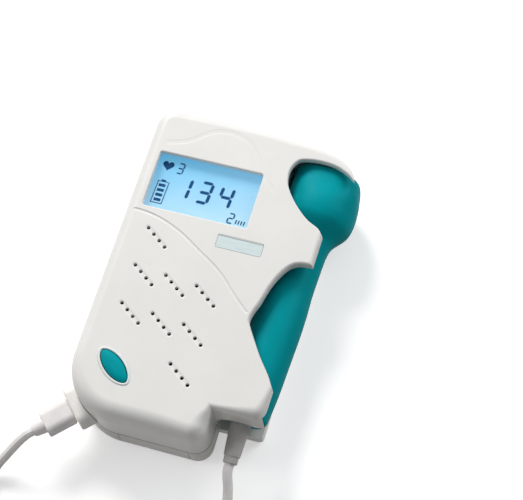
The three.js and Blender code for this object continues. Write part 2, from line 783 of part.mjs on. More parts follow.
function speakerFrame() {
  const top = plateUnderside - gap;
  const low = boardTop + gap + speaker.magnetHeight + gap;
  const rimLow = top - speaker.rimThickness;
  const thin = speaker.basketWall;
  return turned([[speaker.magnetRadius, low], [speaker.radius, rimLow], [speaker.radius, top],
    [speaker.radius - thin, top], [speaker.radius - thin, rimLow + thin],
    [speaker.magnetRadius, low + thin], [speaker.magnetRadius, low]])
    .translate(speakerPlace.x, speakerPlace.y, 0);
}

function speakerCone() {
  const top = plateUnderside - 2 * gap;
  const outer = speaker.radius - speaker.basketWall - gap;
  const thin = speaker.coneThickness;
  return turned([[0, top - speaker.coneDepth], [speaker.magnetRadius, top - speaker.coneDepth],
    [outer, top - thin], [outer, top], [outer - speaker.coneInset, top],
    [speaker.magnetRadius, top - speaker.coneDepth + thin], [0, top - speaker.coneDepth + thin]])
    .translate(speakerPlace.x, speakerPlace.y, 0);
}

const speakerMagnet = () => rod(speaker.magnetRadius, boardTop + gap, boardTop + gap + speaker.magnetHeight)
  .translate(speakerPlace.x, speakerPlace.y, 0);

function batteryHolder() {
  const { left, right, bottom, top } = holderInside;
  const roof = wall + gap + 2 * battery.radius + gap;
  const outer = blockSolid([left - holder.wall, bottom - holder.wall, wall + gap],
    [right + holder.wall, top + holder.wall, roof + holder.roof]);
  return geometryOf(cutFrom(outer, blockSolid([left, bottom, -overrun], [right, top, roof])));
}

const cellLow = holderInside.bottom + gap + contact.thickness + contact.springLength + gap;
const cellHeight = wall + gap / 2 + battery.radius;

function batteryCell(index) {
  const x = holderCentre + (index - (battery.count - 1) / 2) * battery.spacing;
  const can = battery.length - battery.nubHeight;
  const cell = turned([[0, 0], [battery.radius, 0], [battery.radius, can], [battery.nubRadius, can],
    [battery.nubRadius, battery.length], [0, battery.length]]);
  return aimed(cell, new THREE.Vector3(x, cellLow, cellHeight), new THREE.Vector3(0, 1, 0));
}

function contactPlate(y, springs) {
  const low = wall + 2 * gap;
  const plate = blockSolid([holderInside.left + gap, y, low],
    [holderInside.right - gap, y + contact.thickness, low + 2 * battery.radius - gap]);
  const cones = Array.from({ length: springs }, (_, index) => {
    const x = holderCentre + (index - (battery.count - 1) / 2) * battery.spacing;
    const cone = turned([[0, 0], [contact.springRadius, 0], [contact.springRadius / 2, contact.springLength],
      [0, contact.springLength]], roundSegments / 2);
    const foot = new THREE.Vector3(x, y + contact.thickness - gap / 2, cellHeight);
    return solid(aimed(cone, foot, new THREE.Vector3(0, 1, 0)));
  });
  return geometryOf(joined(plate, ...cones));
}

// Socket in the lower left corner and the plug that stands in it
function probeSocket() {
  const body = solid(rod(socket.radius, -socket.length, -wall / 4));
  const bore = solid(rod(socket.boreRadius, -socket.boreDepth, overrun));
  const whole = geometryOf(cutFrom(body, bore));
  return aimed(whole, cornerPoint, cornerDirection);
}

function cornerFrame(geometry) {
  const up = new THREE.Vector3(0, 0, 1);
  const across = up.clone().cross(cornerDirection);
  const basis = new THREE.Matrix4().makeBasis(across, up, cornerDirection);
  geometry.applyMatrix4(basis);
  geometry.translate(cornerPoint.x, cornerPoint.y, cornerPoint.z);
  return geometry;
}

function plugCollar() {
  const shape = pillShape(plug.collarWidth, plug.collarHeight);
  const collar = solid(cornerFrame(slab(shape, -wall, plug.collarProud)));
  const barrel = solid(cornerFrame(rod(plug.barrelRadius, -plug.barrelLength, wall)));
  const casingCorner = solid(rod(casing.lowerLeftRadius + gap, 0, casing.thickness, 4 * roundSegments)
    .translate(casing.lowerLeftRadius, casing.lowerLeftRadius, 0));
  return geometryOf(joined(cutFrom(collar, casingCorner), barrel));
}

function plugOvermould() {
  const start = plug.collarProud + gap;
  const end = start + plug.overmouldLength;
  const body = solid(slab(pillShape(plug.overmouldWidth, plug.overmouldHeight), start, end));
  const taper = solid(turned([[0, end - gap], [plug.overmouldHeight / 2, end - gap],
    [plug.reliefRadius, end + plug.reliefLength], [0, end + plug.reliefLength]]));
  return cornerFrame(geometryOf(joined(body, taper)));
}

// Probe
const probeAxis = new THREE.Vector3(Math.sin(probeTilt), Math.cos(probeTilt), 0);
const probeOrigin = new THREE.Vector3(probeBaseX, probeBase, probeHeight);
const probeAcross = new THREE.Vector3(probeAxis.y, -probeAxis.x, 0);

// Share by which the head has turned flat and square, and how far it leans left, at a height
function headTurn(at) {
  const { roundUntil, squareFrom, lean } = headSection;
  const share = THREE.MathUtils.smoothstep(at / probeLength, roundUntil, squareFrom);
  const beyond = Math.max(0, at / probeLength - roundUntil) / (1 - roundUntil);
  return { share, left: lean * beyond ** 2 };
}

function placedOnProbe(geometry, sectionAt) {
  aimed(geometry, probeOrigin, probeAxis);
  const positions = geometry.getAttribute('position');
  for (let index = 0; index < positions.count; index += 1) {
    const point = new THREE.Vector3().fromBufferAttribute(positions, index).sub(probeOrigin);
    const at = point.dot(probeAxis);
    const { share, left } = headTurn(at);
    const [side, up] = sectionAt(point.dot(probeAcross), point.z, share);
    point.copy(probeOrigin).addScaledVector(probeAxis, at).addScaledVector(probeAcross, side - left);
    positions.setXYZ(index, point.x, point.y, probeOrigin.z + up);
  }
  return geometry;
}

const onProbe = (geometry) => placedOnProbe(geometry, (side, up) => [side, up]);

function squaredSection(side, up, share) {
  const radius = Math.max(Math.hypot(side, up), mergeTolerance);
  const power = 2 + share * (headSection.power - 2);
  const spread = Math.abs(side / radius) ** power + Math.abs(up / radius) ** power;
  const scale = Math.max(spread, mergeTolerance) ** (-1 / power);
  return [side * scale, up * scale * (1 - share * headSection.flattening)];
}

const probeOutline = (thin) => [
  ...handleShares.map(([at, radius]) => [radius * probe.handleRadius - thin, at * probeLength]),
  ...headShares.map(([at, radius]) => [radius * probe.headRadius - thin, at * probeLength]),
];
const lensRadius = lensRadiusShare * probe.headRadius;

function probeShellSolid() {
  const outer = probeOutline(0);
  const inner = probeOutline(probe.wall)
    .filter(([, at]) => at > probe.wall && at < probeLength - probe.lensThickness - probe.wall)
    .reverse();
  const end = outer[outer.length - 1];
  const lip = lensRadius + gap;
  return solid(placedOnProbe(turned([
    [probe.baseHole, 0], ...outer, [lip, end[1]], [lip, inner[0][1]],
    ...inner, [inner[inner.length - 1][0], probe.wall], [probe.baseHole, probe.wall], [probe.baseHole, 0],
  ]), squaredSection));
}

function probeCover(front) {
  const low = front ? probeHeight + gap / 2 : -overrun;
  const high = front ? casing.thickness + overrun : probeHeight - gap / 2;
  const half = blockSolid([bayLeft - overrun, 0, low],
    [rimReach + overrun, casing.length + overrun, high]);
  return geometryOf(probeShellSolid().intersect(half));
}

const lensLow = probeLength - probe.lensThickness - probe.lensCrown;
const probeLens = () => placedOnProbe(turned([[0, lensLow], [lensRadius, lensLow],
  [lensRadius, probeLength - 2 * probe.lensCrown], [lensRadius / 2, probeLength - probe.lensCrown / 2],
  [0, probeLength]]), squaredSection);
const discTop = lensLow - gap;
const transducerDisc = () => onProbe(rod(probe.discRadius, discTop - probe.discThickness, discTop));
const backingTop = discTop - probe.discThickness - gap;
const backingBlock = () => onProbe(rod(probe.discRadius, backingTop - probe.backingThickness, backingTop));

function probeBoard() {
  const half = probe.handleRadius - probe.wall - 2 * gap;
  const side = half * handleShares[5][1] - gap;
  const geometry = block([-side, -probe.boardThickness / 2, probe.boardInset],
    [side, probe.boardThickness / 2, probe.boardInset + probe.boardLength]);
  return onProbe(geometry);
}

const reliefDirection = new THREE.Vector3(0, -1,
  -Math.tan(THREE.MathUtils.degToRad(relief.droopDegrees))).normalize();
const reliefStart = probeOrigin.clone().addScaledVector(reliefDirection, -relief.inside);
const reliefEnd = reliefStart.clone().addScaledVector(reliefDirection, relief.length);

function probeRelief() {
  const band = relief.length - relief.bandLength;
  const shoulder = relief.tipRadius + gap;
  return aimed(turned([[0, 0], [relief.rootRadius, 0], [relief.rootRadius, 2 * relief.inside],
    [shoulder, band], [relief.tipRadius, band], [relief.tipRadius, relief.length], [0, relief.length]]),
  reliefStart, reliefDirection);
}

// Coil of the lead: in along the lower layer, up at the middle, out along the upper layer
const turnAngle = 2 * Math.PI;
const coilAngle = coil.turns * turnAngle + THREE.MathUtils.degToRad(coil.exitDegrees);
const climbAngle = Math.PI;
const spiralAngle = (coilAngle - climbAngle) / 2;
const coilSpread = coil.pitch * spiralAngle / turnAngle;
const coilInner = coil.meanDiameter / 2 - coilSpread / 2;

function coilPoint(angle) {
  const climb = THREE.MathUtils.clamp((angle - spiralAngle) / climbAngle, 0, 1);
  const from = angle < spiralAngle ? spiralAngle - angle : Math.max(0, angle - spiralAngle - climbAngle);
  const radius = coilInner + coil.pitch * from / turnAngle - coil.climbDip * Math.sin(climb * Math.PI);
  const height = coilLow + coil.layerHeight * THREE.MathUtils.smoothstep(climb, 0, 1);
  return new THREE.Vector3(coil.x + radius * Math.cos(-angle), coil.y + radius * Math.sin(-angle), height);
}

function coilPoints() {
  const count = Math.round(coilAngle / turnAngle * coil.stepsPerTurn);
  const points = Array.from({ length: count + 1 }, (_, index) => coilPoint(coilAngle * index / count));
  const first = points[0].clone().sub(points[1]).setZ(0).setLength(lead.diameter);
  const last = points[count].clone().sub(points[count - 1]).setZ(0).setLength(lead.diameter);
  return [points[0].clone().add(first), ...points, points[count].clone().add(last)];
}

function leastGap(points) {
  let least = Infinity;
  points.forEach((point, index) => {
    for (let other = index + coil.stepsPerTurn / 2; other < points.length; other += 1) {
      least = Math.min(least, point.distanceTo(points[other]));
    }
  });
  return least - lead.diameter;
}

// Tube of flat-sided rings that stays level along a lying route
function levelTube(points, radius, sides) {
  const positions = [];
  const indices = [];
  points.forEach((point, index) => {
    const before = points[Math.max(0, index - 1)];
    const after = points[Math.min(points.length - 1, index + 1)];
    const forward = after.clone().sub(before).normalize();
    const side = forward.clone().cross(new THREE.Vector3(0, 0, 1)).normalize();
    const up = side.clone().cross(forward);
    for (let corner = 0; corner < sides; corner += 1) {
      const angle = 2 * Math.PI * corner / sides;
      const place = point.clone().addScaledVector(side, radius * Math.cos(angle))
        .addScaledVector(up, radius * Math.sin(angle));
      positions.push(place.x, place.y, place.z);
    }
  });
  const rings = points.length;
  for (let ring = 0; ring < rings - 1; ring += 1) {
    for (let corner = 0; corner < sides; corner += 1) {
      const next = (corner + 1) % sides;
      const [a, b] = [ring * sides + corner, ring * sides + next];
      indices.push(a, a + sides, b, b, a + sides, b + sides);
    }
  }
  for (let corner = 1; corner < sides - 1; corner += 1) {
    const last = (rings - 1) * sides;
    indices.push(0, corner, corner + 1, last, last + corner + 1, last + corner);
  }
  const geometry = new THREE.BufferGeometry();
  geometry.setAttribute('position', new THREE.Float32BufferAttribute(positions, 3));
  geometry.setIndex(indices);
  return geometry;
}

function leadTube(points) {
  const section = new THREE.Shape();
  section.absarc(0, 0, lead.diameter / 2, 0, 2 * Math.PI, false);
  return new THREE.ExtrudeGeometry(section, {
    steps: lead.stepsPerRun,
    curveSegments: lead.sides / 2,
    extrudePath: new THREE.CatmullRomCurve3(points),
  });
}

const coilRoute = coilPoints();
console.log(`least gap of the coil to itself: ${leastGap(coilRoute).toFixed(2)} mm`);
const vectors = (places) => places.map((place) => new THREE.Vector3(...place));

// A run starts and ends square to what it meets
function runBetween(start, startAim, middle, end, endAim) {
  return [start, start.clone().addScaledVector(startAim, lead.diameter),
    ...middle, end.clone().addScaledVector(endAim, -lead.diameter), end];
}

const coilStart = coilRoute[0];
const coilEnd = coilRoute[coilRoute.length - 1];
const intoCoil = coilRoute[1].clone().sub(coilStart).normalize();
const outOfCoil = coilEnd.clone().sub(coilRoute[coilRoute.length - 2]).normalize();
const plugTip = cornerPoint.clone().addScaledVector(cornerDirection,
  plug.collarProud + gap + plug.overmouldLength + plug.reliefLength);

const probeRunPoints = runBetween(reliefEnd.clone().addScaledVector(reliefDirection, gap), reliefDirection,
  vectors(probeRun), coilStart.clone().addScaledVector(intoCoil, -gap), intoCoil);
const plugRunPoints = runBetween(coilEnd.clone().addScaledVector(outOfCoil, gap), outOfCoil,
  vectors(plugRun), plugTip.clone().addScaledVector(cornerDirection, gap), cornerDirection.clone().negate());
const routeLength = (points) => new THREE.CatmullRomCurve3(points).getLength();
const coilLength = coilRoute.slice(1).reduce(
  (sum, point, index) => sum + point.distanceTo(coilRoute[index]), 0);
console.log(`length of the lead: ${(routeLength(probeRunPoints) + coilLength
  + routeLength(plugRunPoints)).toFixed(0)} mm`);

// Tie round the bundle of turns, at the far and the near side of the coil
function coilTie(side) {
  const reach = (coilSpread + lead.diameter) / 2 + coil.climbDip + 2 * gap;
  const low = coilLow - lead.diameter / 2 - gap;
  const high = coilLow + coil.layerHeight + lead.diameter / 2 + gap;
  const loop = (margin) => {
    const shape = new THREE.Shape();
    shape.moveTo(-reach - margin, low - margin);
    shape.lineTo(reach + margin, low - margin);
    shape.lineTo(reach + margin, high + margin);
    shape.lineTo(-reach - margin, high + margin);
    shape.closePath();
    return shape;
  };
  const band = slab(loop(tie.thickness), -tie.width / 2, tie.width / 2);
  const hollow = slab(loop(0), -tie.width, tie.width);
  const geometry = geometryOf(cutFrom(solid(band), solid(hollow)));
  geometry.rotateX(Math.PI / 2);
  geometry.rotateZ(Math.PI / 2);
  return geometry.translate(coil.x, coil.y + side * coil.meanDiameter / 2, 0);
}

// Assembly
const labelLow = casing.thickness - label.recess + gap;
const casingGroup = new THREE.Group();
casingGroup.add(
  named('front_shell', frontShell(), whitePlastic()),
  named('rear_shell', rearShell(), whitePlastic()),
  named('battery_door', batteryDoor(), whitePlastic()),
  named('display_lens', grown(display.lensMargin, lensTop - display.lensThickness, lensTop), clearLens()),
  named('label_plate', geometryOf(labelBlock(gap, labelLow, labelLow + label.thickness)), paleBlue()),
  named('power_button_lip', buttonLip(), paleLip()),
  named('power_button', powerCap(), tealPlastic()),
  named('mode_button', sideButtonCap(sideButtonPlaces[1]), tealPlastic()),
  named('start_button', sideButtonCap(sideButtonPlaces[0]), tealPlastic()),
  named('volume_wheel', volumeWheel(), blackPlastic()),
);
screwPlaces.forEach((place, index) => {
  const casingScrew = named(`casing_screw_${index + 1}`, screwGeometry(), steel());
  casingScrew.position.set(place.x, place.y, 0);
  casingGroup.add(casingScrew);
});

const panelTop = lensTop - display.lensThickness - gap;
const backlightTop = panelTop - display.panelThickness - gap;
const electronics = new THREE.Group();
electronics.add(
  named('main_board', mainBoard(), greenBoard()),
  named('display_frame', displayFrame(), blackPlastic()),
  named('display_panel', grown(
    display.lensMargin, panelTop - display.panelThickness, panelTop), displayGlass()),
  named('display_backlight', grown(
    display.lensMargin, backlightTop - display.backlightThickness, backlightTop), whiteDiffuser()),
  named('power_button_pad', powerSlab(0, padBottom, padTop), greyRubber()),
  named('power_switch', powerSwitch(), blackPlastic()),
  named('mode_switch', sideSwitch(sideButtonPlaces[1]), blackPlastic()),
  named('start_switch', sideSwitch(sideButtonPlaces[0]), blackPlastic()),
  named('volume_potentiometer', volumePotentiometer(), steel()),
  named('charging_jack', jackGeometry(chargingJack), blackPlastic()),
  named('headphone_jack', jackGeometry(headphoneJack), blackPlastic()),
  named('speaker_frame', speakerFrame(), steel()),
  named('speaker_cone', speakerCone(), blackPlastic()),
  named('speaker_magnet', speakerMagnet(), steel()),
  named('battery_holder', batteryHolder(), blackPlastic()),
  named('battery_contact_minus', contactPlate(holderInside.bottom + gap, battery.count), brass()),
  named('battery_contact_plus', contactPlate(holderInside.top - gap - contact.thickness, 0), brass()),
  named('probe_socket', probeSocket(), blackPlastic()),
);
for (let index = 0; index < battery.count; index += 1) {
  electronics.add(named(`battery_cell_${index + 1}`, batteryCell(index), cellSleeve()));
}

const probeGroup = new THREE.Group();
probeGroup.add(
  named('probe_front_cover', probeCover(true), tealPlastic()),
  named('probe_rear_cover', probeCover(false), tealPlastic()),
  named('probe_lens', probeLens(), tealPlastic()),
  named('transducer_disc', transducerDisc(), ceramic()),
  named('backing_block', backingBlock(), blackPlastic()),
  named('probe_board', probeBoard(), greenBoard()),
  named('probe_strain_relief', probeRelief(), greyRubber()),
);

const leadGroup = new THREE.Group();
leadGroup.add(
  named('lead_probe_run', leadTube(probeRunPoints), leadJacket()),
  named('lead_coil', levelTube(coilRoute, lead.diameter / 2, coil.sides), leadJacket()),
  named('lead_plug_run', leadTube(plugRunPoints), leadJacket()),
  named('coil_tie_far', coilTie(1), blackPlastic()),
  named('coil_tie_near', coilTie(-1), blackPlastic()),
);
const plugGroup = new THREE.Group();
plugGroup.add(
  named('plug_collar', plugCollar(), creamPlastic()),
  named('plug_overmould', plugOvermould(), leadJacket()),
);

// The origin is under the middle of the monitor and its probe, without the lead
const monitor = new THREE.Group();
monitor.add(casingGroup, electronics, probeGroup);
const extent = new THREE.Box3().setFromObject(monitor, true);
const centre = extent.getCenter(new THREE.Vector3());
const doppler = new THREE.Group();
doppler.add(monitor, plugGroup, leadGroup);
doppler.position.set(-centre.x, -centre.y, -extent.min.z);

export default doppler;
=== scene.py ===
"""Pocket fetal doppler monitor with its docked probe and lead.

Sizes in the script are millimetres on the monitor, with x to the right of its left side,
y up from its bottom end and z out of its front face. Finished pieces are in metres.
"""
import math

import bmesh
import bpy
from bpy.props import FloatProperty, FloatVectorProperty, PointerProperty
from mathutils import Matrix, Vector


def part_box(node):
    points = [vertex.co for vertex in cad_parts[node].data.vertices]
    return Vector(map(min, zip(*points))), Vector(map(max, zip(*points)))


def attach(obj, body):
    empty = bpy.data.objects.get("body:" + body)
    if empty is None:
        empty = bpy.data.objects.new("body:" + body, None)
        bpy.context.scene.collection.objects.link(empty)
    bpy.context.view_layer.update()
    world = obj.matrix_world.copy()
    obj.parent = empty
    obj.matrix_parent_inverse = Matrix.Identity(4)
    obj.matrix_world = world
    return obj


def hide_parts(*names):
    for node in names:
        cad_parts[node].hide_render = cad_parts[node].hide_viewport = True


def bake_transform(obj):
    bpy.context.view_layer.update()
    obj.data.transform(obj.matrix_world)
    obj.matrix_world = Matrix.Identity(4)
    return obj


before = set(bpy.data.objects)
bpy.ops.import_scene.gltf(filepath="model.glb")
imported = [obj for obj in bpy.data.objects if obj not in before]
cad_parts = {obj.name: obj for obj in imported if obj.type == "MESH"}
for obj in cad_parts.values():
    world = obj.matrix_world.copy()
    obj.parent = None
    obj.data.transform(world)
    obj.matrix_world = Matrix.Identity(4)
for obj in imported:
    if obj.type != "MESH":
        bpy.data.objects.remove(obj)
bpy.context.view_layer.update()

bl_info = {
    "name": "Fetal Doppler Monitor",
    "version": (1, 0, 0),
    "blender": (4, 5, 0),
    "location": "3D View > Sidebar > Doppler",
    "description": "Builds a pocket doppler monitor with its probe, lead and display",
    "category": "Object",
}

MM = 0.001
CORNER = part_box("front_shell")[0]
PLACE = Matrix.Translation((CORNER[0], CORNER[1], 0)) @ Matrix.Scale(MM, 4)

# Distances within which points are one, in millimetres, and in metres on the lead
LEAST_STEP = 0.02
MERGED_TURNED = 0.0005
MERGED_CUT = 0.0008
MERGED_LEAD = 0.00001

# How edges are shaded, and how far a mitre stretches at most
SHARP_ANGLE = math.radians(32.0)
EVEN_WEIGHT = 60
LEAST_MITRE = 0.5

# Casing
GAP = 0.3
WALL = 2.0
OVERRUN = 10.0
CLEAR = 1.0
LENGTH = 136.5
FOOT_WIDTH = 60.0
THICKNESS = 34.0
REAR_HEIGHT = 12.4
LOWER_LEFT_RADIUS = 22.5
UPPER_LEFT_RADIUS = 8.0
FOOT_RADIUS = 6.5
WING_RADIUS = 5.0
NOTCH_HEIGHT = 14.0
RIM_REACH = 88.5
WING_REACH = 80.4
TAB_REACH = 81.8
FLOOR_REACH = 78.0
TOP_WALL_END = 79.6
WING_UNDERSIDE = 30.0
RIM_UNDERSIDE = 31.4
REAR_ROUND = 2.5
PLATE_UNDERSIDE = THICKNESS - WALL
BAY_LEFT = FOOT_WIDTH
BAY_BOTTOM = NOTCH_HEIGHT + WALL
CRADLE_HEIGHT = 6.8
BEYOND = RIM_REACH + OVERRUN
TOP_EDGE_SHARES = (
    (1, 0.8), (1, 0.855), (0.996, 0.884), (0.982, 0.911), (0.955, 0.934), (0.915, 0.952),
    (0.87, 0.964), (0.802, 0.974), (0.723, 0.981), (0.621, 0.987), (0.542, 0.993), (0.4, 0.998),
    (0.24, 1),
)
SCOOP = {"left": 63.7, "right": WING_REACH, "bottom": 26.0, "top": 81.0}
SCOOP_SHARES = (
    (1.05, 0), (0.935, 0.053), (0.8, 0.118), (0.5, 0.233), (0.24, 0.351), (0.04, 0.447),
    (0, 0.49), (0.04, 0.556), (0.12, 0.627), (0.23, 0.764), (0.375, 0.873), (0.55, 0.953),
    (0.76, 0.99), (1.1, 1),
)
POCKET = {"left": 61.2, "right": 86.6, "bottom": 97.19, "top": 126.81}
POCKET_SHARES = (
    (0.93, -0.13), (0.81, -0.09), (0.713, 0), (0.52, 0.084), (0.35, 0.203), (0.209, 0.328),
    (0.071, 0.49), (0.008, 0.635), (0.004, 0.794), (0.079, 0.926), (0.197, 0.976), (0.425, 1),
    (0.7, 0.98), (0.925, 0.899), (1.1, 0.79),
)
PANEL_LINE_SHARES = (
    (0.06, 0.638), (0.168, 0.635), (0.287, 0.623), (0.435, 0.596), (0.592, 0.554),
    (0.723, 0.519), (0.817, 0.487), (0.907, 0.448), (0.99, 0.416), (1.035, 0.4),
)
ARCH_LINE_SHARES = (
    (0.12, 0.876), (0.25, 0.892), (0.337, 0.917), (0.425, 0.946), (0.555, 0.956),
    (0.69, 0.938), (0.77, 0.9), (0.83, 0.862), (0.9, 0.82), (0.96, 0.795),
)

# Rounding of the front face, which grows towards the wing's corner and the bottom end
ROUNDING = {"edge_zone": 0.1, "foot_margin": 0.4, "wing_margin": 0.5, "wing_run": 4.0,
            "wing_power": 1.5, "foot_start": 40.0, "corner_power": 0.6, "top_share": 0.5}

# Arched opening below the wing
RELIEF_ARCH = {"centre": 70.0, "half": 9.65, "spring": 15.5, "top": 23.4, "steps": 24}

# Front face: edges and grooves as depths below the face and insets
WINDOW = {"left": 6.65, "right": 51.25, "bottom": 89.86, "top": 115.2}
WINDOW_CORNER = 0.9
SCOOP_FLARE = 1.1
POCKET_FLARE = 0.7
WINDOW_FLARE = 0.6
LABEL = {"left": 41.0, "right": 60.6, "bottom": 78.8, "top": 85.0}
LABEL_CORNER = 0.5
LABEL_MARGIN = -0.22
LABEL_LINE = {"below_top": 0.65, "half": 0.16}
LABEL_EDGE = ((0.9, 0.0), (0.3, 0.0), (0.1, -0.1), (0.0, -0.3), (-OVERRUN, -0.3))
GROOVES = ((PANEL_LINE_SHARES, 1.5, 0.32), (ARCH_LINE_SHARES, 2.6, 0.1))
GROOVE_SHARES = ((1, 0.3), (0.45, 0.14), (0, 0.0))
GROOVE_FLARE_SHARE = 0.1
WINDOW_LENS = 1.4
PANEL_TOP = PLATE_UNDERSIDE - GAP - WINDOW_LENS - GAP
BUTTON_PLACE = Vector((18.1, 20.2))
BUTTON_LENGTH = 16.4
BUTTON_WIDTH = 6.9
LIP_REACH = 0.35
BUTTON_TURN = math.radians(-38.5)
BUTTON_PROUD = 1.3
BUTTON_FLANGE = {"reach": 1.0, "thickness": 1.4}
BUTTON_EDGE = 0.2
BUTTON_CROWN_POWER = 0.75
LEAF_POWER = 1.18
LIP_WIDTH = 1.1
LIP_DEPTH = 0.8
LIP_PROUD = 0.4
LIP_SLACK = 0.03
LIP_OUTER_EDGE = ((-0.2, 0.14), (-0.05, 0.4), (0.0, 0.7))
LIP_INNER_EDGE = ((-0.5, 0.0), (-0.2, -0.12), (0.01, -0.5), (CLEAR, -0.5))
HOLE_START = Vector((12.6, 80.3))
HOLE_STEP = Vector((3.0, -2.2))
HOLE_COLUMN_STEP = Vector((13.35, -1.25))
HOLE_ROW_PITCH = 17.0
HOLE_COLUMNS = ((0,), (0, 1, 2), (0, 1, 2), (2,))
HOLES_IN_ROW = 4
HOLE_RADIUS = 0.82
SLOT = {"width": 2.6, "beyond": 3.0}
SLOT_EDGE = ((0.2, 1.0), (0.17, 0.7), (0.08, 0.3), (0.0, -0.1), (-CLEAR, -0.1))

# Sides and back
SIDE_BUTTONS = {"start": 64.0, "mode": 80.0}
SIDE_BUTTON = {"length": 11.0, "height": 4.4, "proud": 0.9, "crown": 0.75, "round": 1.3,
               "flange": 1.0, "thickness": 0.9}
SIDE_BUTTON_HEIGHT = 24.6
JACK_PLACES = (20.0, 35.0)
JACK_HEIGHT = 16.2
JACK_RADIUS = 3.0
WHEEL_PLACE = Vector((7.2, 100.0))
WHEEL_RADIUS = 8.5
WHEEL_LOW = 14.5
WHEEL_HIGH = 17.7
SCREW_PLACES = ((9.0, 34.0), (50.0, 74.2), (8.5, 123.5), (50.0, 123.5))
SCREW = {"head": 2.7, "sunk": 2.5, "shaft": 1.5}
DOOR = {"left": 22.95, "right": 52.05, "top": 60.1}
DOOR_GRIP = {"bottom": 8.0, "pitch": 4.0, "width": 1.2, "depth": 0.6, "round": 0.25, "count": 3}
SADDLE_SHARES = (0.14, 0.6)
SADDLE_WIDTH = 3.0
CELL_BAND = 47.0

# Plug in the lower left corner: the face is what the shells keep in front of the socket
PLUG_HEIGHT = 17.0
CORNER_DIRECTION = Vector((-1, -1, 0)).normalized()
CORNER_POINT = (Vector((LOWER_LEFT_RADIUS, LOWER_LEFT_RADIUS, PLUG_HEIGHT))
                + CORNER_DIRECTION * LOWER_LEFT_RADIUS)
SOCKET_RADIUS = 6.3
SOCKET_FACE = 0.4
PLUG_HOLE = 4.0
SOCKET_DEPTH = 8.0
BARREL = {"radius": 3.4, "length": 5.5}
COLLAR = {"width": 19.0, "height": 9.0, "proud": 4.6, "round": 0.9}
OVERMOULD = {"width": 11.5, "height": 7.0, "length": 12.0, "relief": 5.0, "tip": 2.6,
             "round": 0.5}
OVERMOULD_END = ((-0.6, 0.0), (-0.2, 0.15), (0.0, 0.5))
BOOT_ROOT = ((-GAP, -0.2), (1.0, -0.3))
BOOT_TIP = ((-0.6, 0.1), (0.0, -0.2))
PLUG_TIP = CORNER_POINT + CORNER_DIRECTION * (
    COLLAR["proud"] + GAP + OVERMOULD["length"] + OVERMOULD["relief"])

# Probe
HEAD_RADIUS = 15.3
HANDLE_RADIUS = 10.5
PROBE_WALL = 1.8
PROBE_BASE_HOLE = 4.9
HEAD_CLEARANCE = 7.7
LENS_SHARE = 0.72
LENS_RADIUS = LENS_SHARE * HEAD_RADIUS
LENS_DEPTH = 3.9
LENS_CROWN = 1.8
PROBE_RIM = {"thickness": 3.0, "proud": 0.25, "outer": 0.4, "inner": 0.3}
HANDLE_TANGENT_SHARE = 0.13
HEAD_TANGENT_SHARE = 0.828
PROBE_HEIGHT = WALL + GAP + HEAD_RADIUS
PROBE_BASE = BAY_BOTTOM + 3 * GAP
PROBE_LENGTH = LENGTH - HEAD_CLEARANCE - PROBE_BASE
PROBE_SLOPE = (HEAD_RADIUS - HANDLE_RADIUS) / (
    (HEAD_TANGENT_SHARE - HANDLE_TANGENT_SHARE) * PROBE_LENGTH)
PROBE_TILT = math.atan(PROBE_SLOPE)
PROBE_ORIGIN = Vector((
    BAY_LEFT + GAP + HANDLE_RADIUS - PROBE_SLOPE * HANDLE_TANGENT_SHARE * PROBE_LENGTH,
    PROBE_BASE, PROBE_HEIGHT))
PROBE_AXIS = Vector((math.sin(PROBE_TILT), math.cos(PROBE_TILT), 0))
HANDLE_SHARES = (
    (0, 0.83), (0.011, 0.93), (0.033, 0.962), (0.13, 1), (0.245, 0.99), (0.351, 0.981),
    (0.442, 0.943), (0.527, 0.876), (0.66, 0.848), (0.686, 0.86),
)
HEAD_SHARES = (
    (0.705, 0.605), (0.725, 0.645), (0.742, 0.715), (0.76, 0.805), (0.778, 0.895),
    (0.793, 0.95), (0.81, 0.982), (0.83, 1), (0.86, 1), (0.892, 0.985), (0.92, 0.965),
    (0.936, 0.95), (0.96, 0.935), (0.977, 0.91), (0.984, 0.86),
)
HEAD_SECTION = {"round_until": 0.84, "square_from": 0.936, "power": 2.7, "flattening": 0.073,
                "lean": 1.5}
RELIEF = {"root": 4.3, "tip": 2.9, "length": 19.0, "inside": 1.2, "band": 3.0}
RELIEF_BASE = ((0.0, -0.2), (0.3, 0.0))
RELIEF_SHOULDER = ((0.0, 0.0), (0.8, -0.1))
RELIEF_BAND = ((-0.4, 0.45), (0.0, 0.3), (0.12, -0.02), (0.4, 0.0))
RELIEF_TIP = ((-0.4, 0.0), (0.0, -0.35))
RELIEF_DROP = math.radians(10)
RELIEF_DIRECTION = Vector((0, -1, -math.tan(RELIEF_DROP))).normalized()
RELIEF_START = PROBE_ORIGIN - RELIEF_DIRECTION * RELIEF["inside"]
RELIEF_END = RELIEF_START + RELIEF_DIRECTION * RELIEF["length"]

# Lead
LEAD = 4.0
LEAD_INSIDE = 0.8
COIL = {"x": 38.0, "y": -61.0, "mean": 44.0, "pitch": 4.9, "turns": 7, "exit": 145.0,
        "low": 3.0, "layer": 4.55, "dip": 0.7, "steps": 48}
TIE = {"thickness": 0.7, "width": 6.0, "outer": 1.6, "inner": 1.2, "soft": 0.2}
PROBE_RUN = (
    (71.6, -9.5, 11), (72.6, -15, 8.2), (73.2, -20.5, 5.2), (73.2, -26, 3.1), (72.7, -32, 2.3),
    (71.8, -38, 2.2), (70.8, -44, 2.4), (70, -50, 2.8),
)
PLUG_RUN = (
    (4.8, -70.6, 6.2), (-1, -62.5, 4.3), (-7.5, -54, 2.8), (-14, -46, 2.2), (-19.5, -38.5, 2.2),
    (-22.8, -31, 2.4), (-22.5, -24.6, 4.2), (-19.2, -19.6, 8),
)

